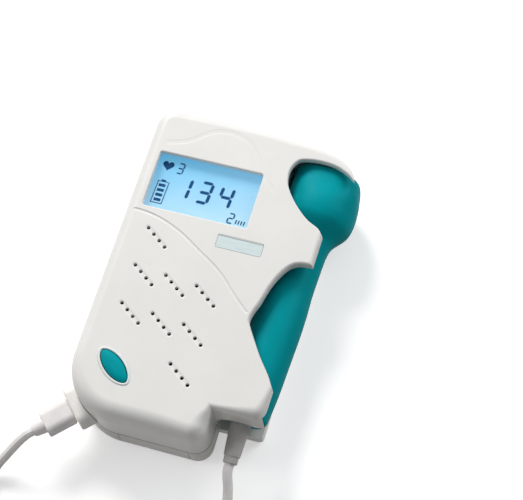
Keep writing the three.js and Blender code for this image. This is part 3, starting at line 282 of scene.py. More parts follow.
# Signs on the display, each placed by its left and lower corner
SEGMENTS = {
    "top": ((0, 1), (1, 1)), "upper_right": ((1, 1), (1, 0.5)), "lower_right": ((1, 0.5), (1, 0)),
    "bottom": ((0, 0), (1, 0)), "lower_left": ((0, 0.5), (0, 0)), "upper_left": ((0, 1), (0, 0.5)),
    "middle": ((0, 0.5), (1, 0.5)),
}
FIGURES = {
    1: ("upper_right", "lower_right"),
    2: ("top", "upper_right", "middle", "lower_left", "bottom"),
    3: ("top", "upper_right", "middle", "lower_right", "bottom"),
    4: ("upper_left", "middle", "upper_right", "lower_right"),
}
FIGURE_WIDTH_SHARE = 0.505
FIGURE_TRIM_SHARE = 0.62
SLANT = 0.07
INK = 0.06
INK_LIFT = 0.04
LARGE_FIGURES = {"places": ((1, 17.5), (3, 26.5), (4, 35.6)), "bottom": 98.1, "stroke": 1.35}
SMALL_FIGURES = ((3, 14.9, 108.7, 4.6), (2, 41.8, 92.1, 4.3))
SMALL_STROKE = 0.6
HEART = {"x": 10.7, "y": 111.2, "size": 4.9, "steps": 36}
HEART_HALF = 16
HEART_WAVES = (13, -5, -2, -1)
BATTERY_MARK = {"left": 8.3, "bottom": 93.3, "width": 5.0, "height": 10.4, "line": 0.35,
                "slant": 0.03, "bars": 4}
BATTERY_NUB_SHARES = (0.33, 0.4)
BATTERY_BAR_SHARE = 0.58
BATTERY_BAR_LINES = (3.2, 6)
STROKES = {"left": 45.2, "bottom": 92.3, "pitch": 1.15, "width": 0.5, "height": 1.8, "count": 4}

# Camera of the photograph: angles, distances in millimetres and focal length in pixels
VIEW = {"azimuth": 25.0746, "elevation": 65.2894, "roll": -9.5752, "across": -14.8853,
        "up": -17.1158, "distance": 579.15, "focal": 1416.062, "width": 523, "near": 0.01}
VIEW_CENTRE = Vector((47.5, 67.5, 17.0))
SENSOR = 36.0

# Studio: the floor in metres, and the lamps' places and sizes in millimetres, watts and colours
LAMPS = {
    "Key": ((-1170, 1820, 1660), 1150, 57.5, (1.0, 0.99, 0.975)),
    "Side": ((-1400, -250, 660), 600, 5.5, (1.0, 0.99, 0.98)),
    "Fill": ((760, 760, 560), 700, 5.2, (0.98, 0.99, 1.0)),
}
LAMP_TARGET = Vector((42, 68, 15))
FLOOR = {"half": 2.5, "below": 0.0002, "glow": 0.42, "colour": (0.93, 0.93, 0.93),
         "bounce": (0.22, 0.19, 0.15)}
SURROUND = {"colour": (0.95, 0.975, 1.0), "strength": 0.27}


# Sizes and colours that a user may change
def colour_setting(name, description, default):
    return FloatVectorProperty(name=name, description=description, subtype="COLOR", size=3,
                               min=0, max=1, default=default)


def length_setting(name, description, default, low, high):
    return FloatProperty(name=name, description=description, unit="LENGTH", subtype="DISTANCE",
                         default=default, min=low, max=high)


class CasingSettings(bpy.types.PropertyGroup):
    """Sizes and colour of the casing"""

    shell_colour: colour_setting("Shell colour", "Colour of the casing", (0.80, 0.79, 0.765))
    lower_round: length_setting(
        "Lower rounding", "Rounding of the front face at the bottom end", 0.0068, 0.001, 0.009)
    side_round: length_setting(
        "Side rounding", "Rounding of the front face along the left side", 0.005, 0.001, 0.009)
    edge_round: length_setting(
        "Edge rounding", "Rounding of the front face round the probe's bay",
        0.0018, 0.0005, 0.003)


class ControlSettings(bpy.types.PropertyGroup):
    """Colours of the controls and the display"""

    display_colour: colour_setting(
        "Display colour", "Colour of the lit display", (0.17, 0.58, 0.92))
    ink_colour: colour_setting(
        "Figure colour", "Colour of the figures on the display", (0.004, 0.055, 0.16))
    figure_height: length_setting(
        "Figure height", "Height of the large figures", 0.0092, 0.004, 0.012)


class ProbeSettings(bpy.types.PropertyGroup):
    """Colours of the probe and its lead"""

    probe_colour: colour_setting(
        "Probe colour", "Colour of the probe and the buttons", (0.0, 0.315, 0.36))
    lead_colour: colour_setting("Lead colour", "Colour of the lead's jacket", (0.93, 0.90, 0.89))
    relief_colour: colour_setting(
        "Relief colour", "Colour of the strain relief", (0.56, 0.54, 0.53))


# Materials
def math_operator(operation, swapped=False):
    """Operator that adds a Math node for a value and another value or a number"""
    def apply(value, other):
        first, second = (other, value) if swapped else (value, other)
        return value.finish.node(
            "ShaderNodeMath", {"operation": operation}, {0: first, 1: second})

    return apply


class Value:
    """Output of a node, with arithmetic that adds Math nodes"""

    def __init__(self, finish, socket):
        self.finish = finish
        self.socket = socket

    def __abs__(self):
        return self.finish.node("ShaderNodeMath", {"operation": "ABSOLUTE"}, {0: self})

    __add__ = __radd__ = math_operator("ADD")
    __mul__ = __rmul__ = math_operator("MULTIPLY")
    __sub__ = math_operator("SUBTRACT")
    __rsub__ = math_operator("SUBTRACT", swapped=True)
    __truediv__ = math_operator("DIVIDE")
    __gt__ = math_operator("GREATER_THAN")
    __lt__ = math_operator("LESS_THAN")


class Finish:
    """A procedural material, or the world's light, while its nodes are put together"""

    def __init__(self, name, for_world=False):
        kinds = bpy.data.worlds if for_world else bpy.data.materials
        self.owner = kinds.new(name)
        self.owner.use_nodes = True
        self.tree = self.owner.node_tree
        self.tree.nodes.clear()

    def node(self, kind, settings=None, values=None, output=0):
        made = self.tree.nodes.new(kind)
        for key, setting in (settings or {}).items():
            setattr(made, key, setting)
        for key, value in (values or {}).items():
            if isinstance(value, Value):
                self.tree.links.new(value.socket, made.inputs[key])
            else:
                made.inputs[key].default_value = value
        return Value(self, made.outputs[output]) if made.outputs else None

    def object_place(self):
        return self.node("ShaderNodeTexCoord", output="Object")

    def outputs(self, value, *names):
        """Outputs of the node that a value comes from"""
        return [Value(self, value.socket.node.outputs[name]) for name in names]

    def place_axes(self):
        axes = self.node("ShaderNodeSeparateXYZ", values={0: self.object_place()})
        return self.outputs(axes, 0, 1, 2)

    def noise(self, scale, detail=2.0, roughness=0.5, vector=None):
        return self.node("ShaderNodeTexNoise", values={
            "Vector": vector or self.object_place(), "Scale": scale, "Detail": detail,
            "Roughness": roughness})

    def stretched_noise(self, scales, detail, roughness=0.6):
        """Noise with a scale of its own along each axis"""
        return self.noise(1.0, detail, roughness, self.node("ShaderNodeMapping", values={
            "Vector": self.object_place(), "Scale": scales}))

    def mixed(self, share, first, second):
        return self.node("ShaderNodeMix", {"data_type": "RGBA"},
                         {0: share, 6: first, 7: second}, output=2)

    def toned(self, share, colour, low, high=1.0):
        """One colour between two shares of its strength"""
        return self.mixed(share, rgba(colour, low), rgba(colour, high))

    def between(self, value, low, high, to_low=0.0, to_high=1.0):
        return self.node("ShaderNodeMapRange", {"clamp": True}, {
            "Value": value, "From Min": low, "From Max": high,
            "To Min": to_low, "To Max": to_high})

    def roughened(self, noise, smooth, rough):
        """Roughness that follows a noise from one value to another"""
        return self.between(noise, 0.3, 0.7, smooth, rough)

    def bump(self, height, strength, distance, below=None):
        values = {"Height": height, "Strength": strength, "Distance": distance}
        if below is not None:
            values["Normal"] = below
        return self.node("ShaderNodeBump", values=values)

    def close(self, **values):
        names = {key.replace("_", " ").title(): value for key, value in values.items()}
        names = {key.replace("Ior", "IOR"): value for key, value in names.items()}
        shader = self.node("ShaderNodeBsdfPrincipled", values=names)
        self.node("ShaderNodeOutputMaterial", values={"Surface": shader})
        return self.owner


def rgba(colour, share=1.0):
    return (*(min(1.0, channel * share) for channel in colour), 1)


def moulded(name, colour, roughness=0.42, grain=0.05, shade=0.94, gloss=0.5):
    """Moulded plastic: faint clouding, a fine grain and uneven gloss"""
    finish = Finish(name)
    cloud = finish.noise(55.0, 3.0, 0.6)
    speck = finish.noise(420.0, 2.0, 0.6)
    base = finish.toned(finish.between(cloud * 0.7 + speck * 0.3, 0.35, 0.65), colour, shade)
    grainy = finish.bump(finish.noise(2600.0, 2.0, 0.55), grain, 0.0001)
    waved = finish.bump(finish.noise(28.0, 1.0, 0.4), 0.04, 0.002, grainy)
    return finish.close(
        base_color=base,
        roughness=finish.roughened(speck, roughness - 0.05, roughness + 0.06),
        specular_ior_level=gloss, normal=waved)


def shell_material(name, colour):
    """Casing plastic with the grime that gathers along the parting line"""
    finish = Finish(name)
    height = finish.place_axes()[2]
    cloud = finish.noise(45.0, 3.0, 0.6)
    speck = finish.noise(380.0, 2.0, 0.65)
    clean = finish.toned(finish.between(cloud, 0.35, 0.65), colour, 0.965)
    off_line = abs(height - (REAR_HEIGHT - GAP / 2) * MM)
    grime = finish.between(off_line, 0.0002, 0.0010, 0.75, 0.0) * finish.between(
        speck, 0.2, 0.5, 0.6, 1.0)
    base = finish.mixed(grime, clean, rgba((0.22, 0.19, 0.15)))
    fine = finish.bump(finish.noise(3000.0, 2.0, 0.5), 0.045, 0.0001)
    waved = finish.bump(finish.noise(22.0, 1.0, 0.4), 0.05, 0.002, fine)
    return finish.close(
        base_color=base, roughness=finish.roughened(speck, 0.40, 0.52), normal=waved)


def rubber_material(name, colour):
    """Soft rubber: matt, with fine pitting and scuffs"""
    finish = Finish(name)
    scuff = finish.noise(260.0, 4.0, 0.7)
    pits = finish.noise(1900.0, 3.0, 0.6)
    return finish.close(
        base_color=finish.toned(finish.between(scuff, 0.35, 0.7), colour, 0.86, 1.06),
        roughness=finish.roughened(pits, 0.62, 0.78),
        normal=finish.bump(pits, 0.16, 0.00012))


def metal_material(name, colour, roughness=0.28):
    """Metal with fine drawn lines along y"""
    finish = Finish(name)
    drawn = finish.stretched_noise((2400.0, 160.0, 2400.0), 3.0)
    return finish.close(
        base_color=finish.toned(drawn, colour, 0.82), metallic=1.0,
        roughness=finish.roughened(drawn, roughness, roughness + 0.16),
        normal=finish.bump(drawn, 0.08, 0.0001))


def board_material(name):
    """Circuit board: green mask over copper tracks"""
    finish = Finish(name)
    tracks = finish.node("ShaderNodeTexBrick", {"offset": 0.37, "offset_frequency": 3}, {
        "Vector": finish.object_place(), "Scale": 260.0, "Mortar Size": 0.06,
        "Color1": rgba((0.02, 0.20, 0.09)), "Color2": rgba((0.015, 0.16, 0.07)),
        "Mortar": rgba((0.10, 0.34, 0.16))})
    masked = finish.outputs(tracks, "Fac")[0]
    return finish.close(
        base_color=tracks, roughness=0.38, normal=finish.bump(masked, 0.3, 0.0001))


def lens_material(name):
    """Clear hard-coated window with faint smears"""
    finish = Finish(name)
    smear = finish.noise(90.0, 3.0, 0.7)
    return finish.close(
        base_color=rgba((0.8, 0.92, 1.0)), transmission_weight=1.0, alpha=0.08, ior=1.3,
        roughness=finish.between(smear, 0.35, 0.75, 0.04, 0.12))


def display_material(name, colour):
    """Backlit panel: deeper blue towards its top and a little towards its left, paler towards its
    bottom, with a fine grid of cells
    """
    finish = Finish(name)
    across, up, _ = finish.place_axes()
    middle_x = CORNER[0] + (WINDOW["left"] + WINDOW["right"]) / 2 * MM
    middle_y = CORNER[1] + (WINDOW["bottom"] + WINDOW["top"]) / 2 * MM
    half_x = (WINDOW["right"] - WINDOW["left"]) / 2 * MM
    half_y = (WINDOW["top"] - WINDOW["bottom"]) / 2 * MM
    off_x = (across - middle_x) / half_x
    off_y = (up - middle_y) / half_y
    pale = finish.between(
        off_y * -0.35 + off_x * 0.12 + finish.noise(60.0) * 0.3, -0.35, 0.55)
    lit = finish.mixed(pale, rgba(colour), rgba((0.50, 0.78, 0.95)))
    dim = finish.mixed(0.5, lit, rgba((0.0, 0.0, 0.0)))
    cells = finish.node("ShaderNodeTexChecker", values={
        "Vector": finish.object_place(), "Scale": 2600.0}, output="Fac")
    return finish.close(
        base_color=dim, emission_color=lit, emission_strength=0.57, roughness=0.4,
        specular_ior_level=0.1, normal=finish.bump(cells, 0.02, 0.00005))


def ink_material(name, colour):
    """Dark figures of the display, a little uneven where the backlight shows through"""
    finish = Finish(name)
    patch = finish.noise(700.0, 2.0, 0.5)
    return finish.close(
        base_color=finish.toned(patch, colour, 1.0, 1.9), roughness=0.5,
        specular_ior_level=0.1)


def label_material(name, colour):
    """Bare label: pale metallic foil with a thin grey line along its upper edge"""
    finish = Finish(name)
    line_place = CORNER[1] + (LABEL["top"] - LABEL_LINE["below_top"]) * MM
    on_line = abs(finish.place_axes()[1] - line_place) < LABEL_LINE["half"] * MM
    foil = finish.stretched_noise((200.0, 3800.0, 200.0), 2.0, 0.5)
    bare = finish.toned(foil, colour, 0.93, 1.04)
    return finish.close(
        base_color=finish.mixed(on_line, bare, rgba((0.30, 0.29, 0.29))),
        roughness=finish.roughened(foil, 0.26, 0.42), metallic=0.15)


def lead_material(name, colour):
    """Jacket of the lead: smooth, a little uneven and faintly marked by its layer"""
    finish = Finish(name)
    soil = finish.noise(130.0, 4.0, 0.7)
    fine = finish.noise(1500.0, 2.0, 0.5)
    return finish.close(
        base_color=finish.toned(finish.between(soil, 0.3, 0.7), colour, 0.9, 1.04),
        roughness=finish.roughened(soil, 0.48, 0.62),
        normal=finish.bump(fine, 0.1, 0.0001))


def cell_material(name, colour):
    """Printed sleeve of a cell, dark with a pale band at its upper end"""
    finish = Finish(name)
    band = finish.place_axes()[1] > CORNER[1] + CELL_BAND * MM
    scratch = finish.stretched_noise((1500.0, 120.0, 1500.0), 3.0)
    return finish.close(
        base_color=finish.mixed(band, rgba(colour), rgba((0.58, 0.55, 0.45))), metallic=0.35,
        roughness=finish.roughened(scratch, 0.3, 0.46))


MATERIALS = {}


def make_materials(scene):
    casing, controls, probe = scene.doppler_casing, scene.doppler_controls, scene.doppler_probe
    teal = probe.probe_colour[:]
    MATERIALS.update({
        "shell": shell_material("Casing plastic", casing.shell_colour[:]),
        "teal_plastic": moulded("Probe plastic", teal, 0.5, 0.05, 0.93, 0.04),
        "button_lip": moulded("Button lip plastic", (0.80, 0.84, 0.83), 0.4, 0.03, 0.97, 0.4),
        "collar": moulded("Plug collar plastic", (0.94, 0.92, 0.88), 0.48, 0.06),
        "grey_rubber": rubber_material("Strain relief rubber", probe.relief_colour[:]),
        "black_plastic": moulded("Black plastic", (0.018, 0.019, 0.021), 0.5, 0.08, 0.8, 0.3),
        "clear_lens": lens_material("Display window"),
        "display": display_material("Lit display", controls.display_colour[:]),
        "diffuser": moulded("Backlight diffuser", (0.86, 0.88, 0.88), 0.5, 0.02),
        "label": label_material("Bare label foil", (0.65, 0.755, 0.77)),
        "lead": lead_material("Lead jacket", probe.lead_colour[:]),
        "tie": rubber_material("Coil tie", (0.03, 0.03, 0.032)),
        "board": board_material("Circuit board"),
        "steel": metal_material("Steel", (0.58, 0.59, 0.60)),
        "brass": metal_material("Brass", (0.66, 0.47, 0.17), 0.24),
        "cell": cell_material("Cell sleeve", (0.035, 0.06, 0.11)),
        "ceramic": moulded("Transducer ceramic", (0.70, 0.64, 0.50), 0.55, 0.12),
        "ink": ink_material("Display figures", controls.ink_colour[:]),
    })


# Numbers
def clamped(share):
    return min(1.0, max(0.0, share))


def eased(share):
    return share * share * (3 - 2 * share)


def quarter(steps):
    """Sine and cosine at even steps of a quarter turn"""
    turns = [math.pi / 2 * index / steps for index in range(steps + 1)]
    return [(math.sin(turn), math.cos(turn)) for turn in turns]


def rounded_edge(face, depth, inset, steps):
    """Levels of a rounding that starts at a depth behind a face and ends on it, further in"""
    return [(face - depth * (1 - sine), inset * (1 - cosine)) for sine, cosine in quarter(steps)]


# Outlines in plan, each counter-clockwise
def arc(centre, radius, start, end, steps):
    """Points of an arc between two angles in degrees, both ends included"""
    turns = [math.radians(start + (end - start) * index / steps) for index in range(steps + 1)]
    return [Vector((centre[0] + radius * math.cos(turn), centre[1] + radius * math.sin(turn)))
            for turn in turns]


def line(start, end, steps):
    start, end = Vector(start), Vector(end)
    return [start.lerp(end, index / steps) for index in range(steps + 1)]


def padded_ends(points):
    """Points with one more beyond each end, as a smooth curve needs them"""
    points = [Vector(point) for point in points]
    return [2 * points[0] - points[1], *points, 2 * points[-1] - points[-2]]


def spline(points, steps):
    """Smooth curve through points, as the casing's own edge curves run"""
    padded = padded_ends(points)
    curve = []
    for index in range(1, len(padded) - 2):
        before, start, end, after = padded[index - 1:index + 3]
        for step in range(steps):
            share = step / steps
            curve.append(0.5 * (
                2 * start + (end - before) * share
                + (2 * before - 5 * start + 4 * end - after) * share ** 2
                + (3 * start - before - 3 * end + after) * share ** 3))
    return [*curve, padded[-2]]


def plain(points):
    """The same outline with each point once"""
    kept = []
    for point in points:
        if not kept or (point - kept[-1]).length > LEAST_STEP:
            kept.append(point)
    if (kept[0] - kept[-1]).length < LEAST_STEP:
        kept.pop()
    return kept


def counter_clockwise(ring):
    doubled_area = sum(a.x * b.y - b.x * a.y for a, b in zip(ring, ring[1:] + ring[:1]))
    return ring if doubled_area > 0 else ring[::-1]


def top_edge(inset=0.0):
    return [Vector((x * RIM_REACH, y * LENGTH - inset)) for x, y in TOP_EDGE_SHARES]


def top_edge_height(x):
    points = top_edge()
    for right, left in zip(points, points[1:]):
        if left.x <= x <= right.x:
            return left.y + (right.y - left.y) * (x - left.x) / (right.x - left.x)
    return LENGTH


def left_side(inset):
    upper, lower = UPPER_LEFT_RADIUS, LOWER_LEFT_RADIUS
    return [
        *arc((upper, LENGTH - upper), upper - inset, 90, 180, 12),
        *line((inset, LENGTH - upper), (inset, lower), 24)[1:-1],
        *arc((lower, lower), lower - inset, 180, 270, 30),
    ]


def casing_outline():
    foot, wing = FOOT_RADIUS, WING_RADIUS
    return plain([
        *line((LOWER_LEFT_RADIUS, 0), (FOOT_WIDTH - foot, 0), 8),
        *arc((FOOT_WIDTH - foot, foot), foot, -90, 0, 14),
        *line((FOOT_WIDTH, foot), (FOOT_WIDTH, NOTCH_HEIGHT), 6),
        *line((FOOT_WIDTH, NOTCH_HEIGHT), (WING_REACH - wing, NOTCH_HEIGHT), 5),
        *arc((WING_REACH - wing, NOTCH_HEIGHT + wing), wing, -90, 0, 10),
        *line((WING_REACH, NOTCH_HEIGHT + wing), (TAB_REACH, POCKET["bottom"]), 16),
        *line((TAB_REACH, POCKET["bottom"]), top_edge()[0], 5),
        *spline(top_edge(), 3),
        *left_side(0),
    ])


def electronics_outline():
    foot = FOOT_RADIUS
    right = FOOT_WIDTH - WALL
    inner = [point for point in top_edge(WALL) if point.x < right - WALL]
    return plain([
        Vector((LOWER_LEFT_RADIUS, WALL)),
        *arc((FOOT_WIDTH - foot, foot), foot - WALL, -90, 0, 8),
        Vector((right, top_edge_height(right) - WALL)),
        *inner, *left_side(WALL),
    ])


def front_rounding(casing):
    """Rounding of the front face at each point of the outline"""
    lower = casing.lower_round / MM
    side = casing.side_round / MM
    edge = casing.edge_round / MM
    foot = min(lower, FOOT_RADIUS - ROUNDING["foot_margin"])
    zone, power = ROUNDING["edge_zone"], ROUNDING["wing_power"]
    scoop, top_share = SCOOP["bottom"], ROUNDING["top_share"]
    start = ROUNDING["foot_start"]

    def at(point):
        x, y = point
        if x > FOOT_WIDTH + zone and y < scoop:
            across = clamped((x - FOOT_WIDTH) / (WING_REACH - WING_RADIUS - FOOT_WIDTH))
            down = clamped((scoop - y) / (scoop - NOTCH_HEIGHT - ROUNDING["wing_run"]))
            return edge + (WING_RADIUS - ROUNDING["wing_margin"] - edge) * across ** power * down
        if x > FOOT_WIDTH + zone:
            rise = clamped((RIM_REACH - x) / (RIM_REACH - FOOT_WIDTH))
            return edge + (side - edge) * rise * top_share if y > POCKET["top"] else edge
        if x > FOOT_WIDTH - zone and y > FOOT_RADIUS - zone:
            share = clamped((y - FOOT_RADIUS) / (NOTCH_HEIGHT - FOOT_RADIUS))
            return foot + (edge - foot) * share ** power
        if y < LOWER_LEFT_RADIUS:
            if x > FOOT_WIDTH - FOOT_RADIUS:
                return foot
            share = clamped(y / LOWER_LEFT_RADIUS)
            run = clamped((x - start) / (FOOT_WIDTH - FOOT_RADIUS - start))
            target = lower + (foot - lower) * run
            return side + (target - side) * (1 - share) ** ROUNDING["corner_power"]
        if y > LENGTH - UPPER_LEFT_RADIUS - zone:
            run = min(1.0, x / FOOT_WIDTH)
            return side + (edge + (side - edge) * top_share - side) * run
        return side

    return at


def offset_ring(points, amounts):
    """Outline moved inwards along its mitres, by an amount for each point"""
    ring = []
    count = len(points)
    for index, point in enumerate(points):
        before = (point - points[index - 1]).normalized()
        after = (points[(index + 1) % count] - point).normalized()
        inwards = Vector((-(before + after).y, (before + after).x)).normalized()
        stretch = max(LEAST_MITRE, inwards.dot(Vector((-after.y, after.x))))
        ring.append(point + inwards * amounts[index] / stretch)
    return ring


# Solids
def stacked(rings):
    """Closed body: the first ring's face extruded through the others"""
    body = bmesh.new()
    face = body.faces.new([body.verts.new(place) for place in rings[0]])
    for index, ring in enumerate(rings[1:]):
        grown = bmesh.ops.extrude_face_region(body, geom=[face])["geom"]
        if index:
            bmesh.ops.delete(body, geom=[face], context="FACES_ONLY")
        face = next(item for item in grown if isinstance(item, bmesh.types.BMFace))
        for vert, place in zip(face.verts, ring):
            vert.co = place
    bmesh.ops.recalc_face_normals(body, faces=body.faces)
    return body


def loft(points, levels):
    """Closed body: an outline through levels, each a height and an inset that are one
    number or one for every point"""
    count = len(points)
    rings = []
    for height, inset in levels:
        heights = height if isinstance(height, list) else [height] * count
        insets = inset if isinstance(inset, list) else [inset] * count
        flat = offset_ring(points, insets)
        rings.append([Vector((*point, z)) for point, z in zip(flat, heights)])
    return stacked(rings)


def slab(points, low, high):
    return loft(points, [(low, 0.0), (high, 0.0)])


def from_here(pairs, along, out=0.0):
    """Pairs of a place along an axis and a distance from it, counted from a place on it"""
    return [(along + further, out + wider) for further, wider in pairs]


def placed(body, x, y, z=0.0):
    bmesh.ops.translate(body, vec=(x, y, z), verts=body.verts)
    return body


def box(low, high):
    body = bmesh.new()
    bmesh.ops.create_cube(body, size=1.0)
    bmesh.ops.scale(body, vec=Vector(high) - Vector(low), verts=body.verts)
    return placed(body, *(Vector(low) + Vector(high)) / 2)


def rounded_box(low, high, radius):
    body = box(low, high)
    bmesh.ops.bevel(body, geom=body.edges[:], offset=radius, offset_type="OFFSET",
                    segments=3, profile=0.5, affect="EDGES", material=-1)
    return body


def rod(radius, low, high, sides=32):
    body = bmesh.new()
    bmesh.ops.create_cone(body, cap_ends=True, segments=sides, radius1=radius, radius2=radius,
                          depth=high - low)
    return placed(body, 0, 0, (low + high) / 2)


def turned(profile, steps):
    """Body of revolution round z from pairs of radius and height"""
    body = bmesh.new()
    verts = [body.verts.new((radius, 0, height)) for radius, height in profile]
    edges = [body.edges.new(pair) for pair in zip(verts, verts[1:])]
    bmesh.ops.spin(body, geom=verts + edges, cent=(0, 0, 0), axis=(0, 0, 1), dvec=(0, 0, 0),
                   angle=2 * math.pi, steps=steps, use_merge=True, use_duplicate=False)
    bmesh.ops.remove_doubles(body, verts=body.verts, dist=MERGED_TURNED)
    return body


def axis_to_axis(edge):
    """Profile for a body of revolution, from pairs of a height and a radius, closed at both ends"""
    return [(0, edge[0][0]), *((radius, height) for height, radius in edge), (0, edge[-1][0])]


def aim(body, start, direction):
    """Turns a body made along z so that it runs from a point along a direction"""
    turn = Vector((0, 0, 1)).rotation_difference(direction).to_matrix().to_4x4()
    body.transform(Matrix.Translation(start) @ turn)
    return body


def sideways(body, place):
    """Turns a body so that its x runs along y, its y up and its z to the right, and places it"""
    body.transform(Matrix.Translation(place) @ Matrix.Rotation(math.pi / 2, 4, "Z")
                   @ Matrix.Rotation(math.pi / 2, 4, "X"))
    return body


def on_probe(body):
    """Places a body of revolution on the probe, where the head's section turns flatter and
    squarer and leans left towards its end"""
    aim(body, PROBE_ORIGIN, PROBE_AXIS)
    across = Vector((PROBE_AXIS.y, -PROBE_AXIS.x, 0))
    start, full = HEAD_SECTION["round_until"], HEAD_SECTION["square_from"]
    for vert in body.verts:
        from_origin = vert.co - PROBE_ORIGIN
        at = from_origin.dot(PROBE_AXIS)
        beyond = max(0.0, at / PROBE_LENGTH - start)
        turn = eased(min(1.0, beyond / (full - start)))
        side, up = from_origin.dot(across), from_origin.z
        radius = math.hypot(side, up)
        if radius > LEAST_STEP:
            power = 2 + turn * (HEAD_SECTION["power"] - 2)
            scale = (abs(side / radius) ** power + abs(up / radius) ** power) ** (-1 / power)
            side, up = side * scale, up * scale * (1 - turn * HEAD_SECTION["flattening"])
        side -= HEAD_SECTION["lean"] * (beyond / (1 - start)) ** 2
        vert.co = PROBE_ORIGIN + PROBE_AXIS * at + across * side + Vector((0, 0, up))
    return body


def joined(*bodies):
    """One mesh of several bodies that stand apart"""
    whole = bmesh.new()
    for body in bodies:
        part = bpy.data.meshes.new("part")
        body.to_mesh(part)
        body.free()
        whole.from_mesh(part)
        bpy.data.meshes.remove(part)
    return whole


def face_outwards(body):
    """Turns the faces outwards, from normals that follow the body's last move"""
    body.normal_update()
    bmesh.ops.recalc_face_normals(body, faces=body.faces)


def linked(name, body):
    """Object in the scene with a body as its mesh"""
    mesh = bpy.data.meshes.new(name)
    body.to_mesh(mesh)
    body.free()
    made = bpy.data.objects.new(name, mesh)
    bpy.context.scene.collection.objects.link(made)
    return made


def blank(body):
    face_outwards(body)
    return linked("blank", body)


def combined(body, steps):
    """Body after boolean steps, each an operation and another body"""
    main = blank(body)
    tools = []
    for operation, tool in steps:
        tools.append(blank(tool))
        modifier = main.modifiers.new(operation, "BOOLEAN")
        modifier.operation = operation
        modifier.solver = "MANIFOLD"
        modifier.object = tools[-1]
    bpy.context.view_layer.update()
    depsgraph = bpy.context.evaluated_depsgraph_get()
    result = bmesh.new()
    evaluated = main.evaluated_get(depsgraph)
    final = bpy.data.meshes.new_from_object(evaluated, depsgraph=depsgraph)
    result.from_mesh(final)
    for scratch in (main, *tools):
        used = scratch.data
        bpy.data.objects.remove(scratch)
        bpy.data.meshes.remove(used)
    bpy.data.meshes.remove(final)
    bmesh.ops.remove_doubles(result, verts=result.verts, dist=MERGED_CUT)
    bmesh.ops.dissolve_degenerate(result, edges=result.edges, dist=MERGED_CUT)
    return result


def without(body, *cutters):
    return combined(body, [("DIFFERENCE", cutter) for cutter in cutters])


def finished(name, body, slot, ride_on, replaced=(), recalculate=True):
    """Puts a body made in millimetres in its place as a finished piece"""
    if recalculate:
        face_outwards(body)
    body.transform(PLACE)
    piece = linked(name, body)
    piece.data.shade_smooth()
    piece.data.set_sharp_from_angle(angle=SHARP_ANGLE)
    piece.data.materials.append(MATERIALS[slot])
    weighted = piece.modifiers.new("Even shading", "WEIGHTED_NORMAL")
    weighted.keep_sharp = True
    weighted.weight = EVEN_WEIGHT
    if ride_on:
        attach(piece, ride_on)
    if replaced:
        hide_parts(*replaced)
    return piece


def dress(slot, *names):
    """Gives carried-over nodes the finish of their slot"""
    for name in names:
        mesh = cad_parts[name].data
        mesh.materials.clear()
        mesh.materials.append(MATERIALS[slot])


# Casing cuts
def flared(points, low, high, flare, steps=4):
    """Cutter whose edge opens out in a rounding at the front face"""
    return loft(points, [
        (low, 0.0), *rounded_edge(THICKNESS, flare, -flare, steps), (high, -flare)])


def below_face(edge):
    """Levels of a cutter from pairs of a depth below the front face and an inset"""
    return [(THICKNESS - depth, inset) for depth, inset in edge]


def side_outline(area, shares):
    """Outline of an opening in the right side, open towards the probe"""
    curve = spline([(area["left"] + x * (area["right"] - area["left"]),
                     area["bottom"] + y * (area["top"] - area["bottom"])) for x, y in shares], 3)
    ring = plain([Vector((BEYOND, curve[0].y)), *curve, Vector((BEYOND, curve[-1].y))])
    return ring[::-1]


def strip_outline(shares, width):
    """Outline of a strip of even width along a line on the front face"""
    curve = spline([(x * FOOT_WIDTH, y * LENGTH) for x, y in shares], 3)
    sides = ([], [])
    for index, point in enumerate(curve):
        before = curve[max(0, index - 1)]
        after = curve[min(len(curve) - 1, index + 1)]
        run = (after - before).normalized()
        across = Vector((-run.y, run.x)) * width / 2
        sides[0].append(point - across)
        sides[1].append(point + across)
    return counter_clockwise([*sides[0], *sides[1][::-1]])


def rounded_rectangle(area, radius, margin=0.0, steps=5):
    left, right = area["left"] - margin, area["right"] + margin
    low, high = area["bottom"] - margin, area["top"] + margin
    return plain([
        *arc((right - radius, low + radius), radius, -90, 0, steps),
        *arc((right - radius, high - radius), radius, 0, 90, steps),
        *arc((left + radius, high - radius), radius, 90, 180, steps),
        *arc((left + radius, low + radius), radius, 180, 270, steps),
    ])


def pill(length, width, steps):
    radius = width / 2
    half = length / 2 - radius
    return plain([*arc((half, 0), radius, -90, 90, steps),
                  *arc((-half, 0), radius, 90, 270, steps)])


def button_outline(margin):
    """Power button's outline: an ellipse with slightly pointed ends, turned on the face"""
    length, width = BUTTON_LENGTH + 2 * margin, BUTTON_WIDTH + 2 * margin
    spin = Matrix.Rotation(BUTTON_TURN, 2)
    steps = 64
    points = []
    for index in range(steps):
        angle = 2 * math.pi * index / steps
        rise = math.copysign(abs(math.sin(angle)) ** LEAF_POWER, math.sin(angle))
        points.append(BUTTON_PLACE + spin @ Vector(
            (length / 2 * math.cos(angle), width / 2 * rise)))
    return points


def groove_cutter(shares, width, depth):
    edge = [(depth * down, width * inset) for down, inset in GROOVE_SHARES]
    return loft(strip_outline(shares, width), below_face([
        *edge, (-CLEAR, -width * GROOVE_FLARE_SHARE)]))


def hole_places():
    for row, columns in enumerate(HOLE_COLUMNS):
        for column in columns:
            start = HOLE_START + HOLE_COLUMN_STEP * column - Vector((0, HOLE_ROW_PITCH * row))
            yield [start + HOLE_STEP * index for index in range(HOLES_IN_ROW)]


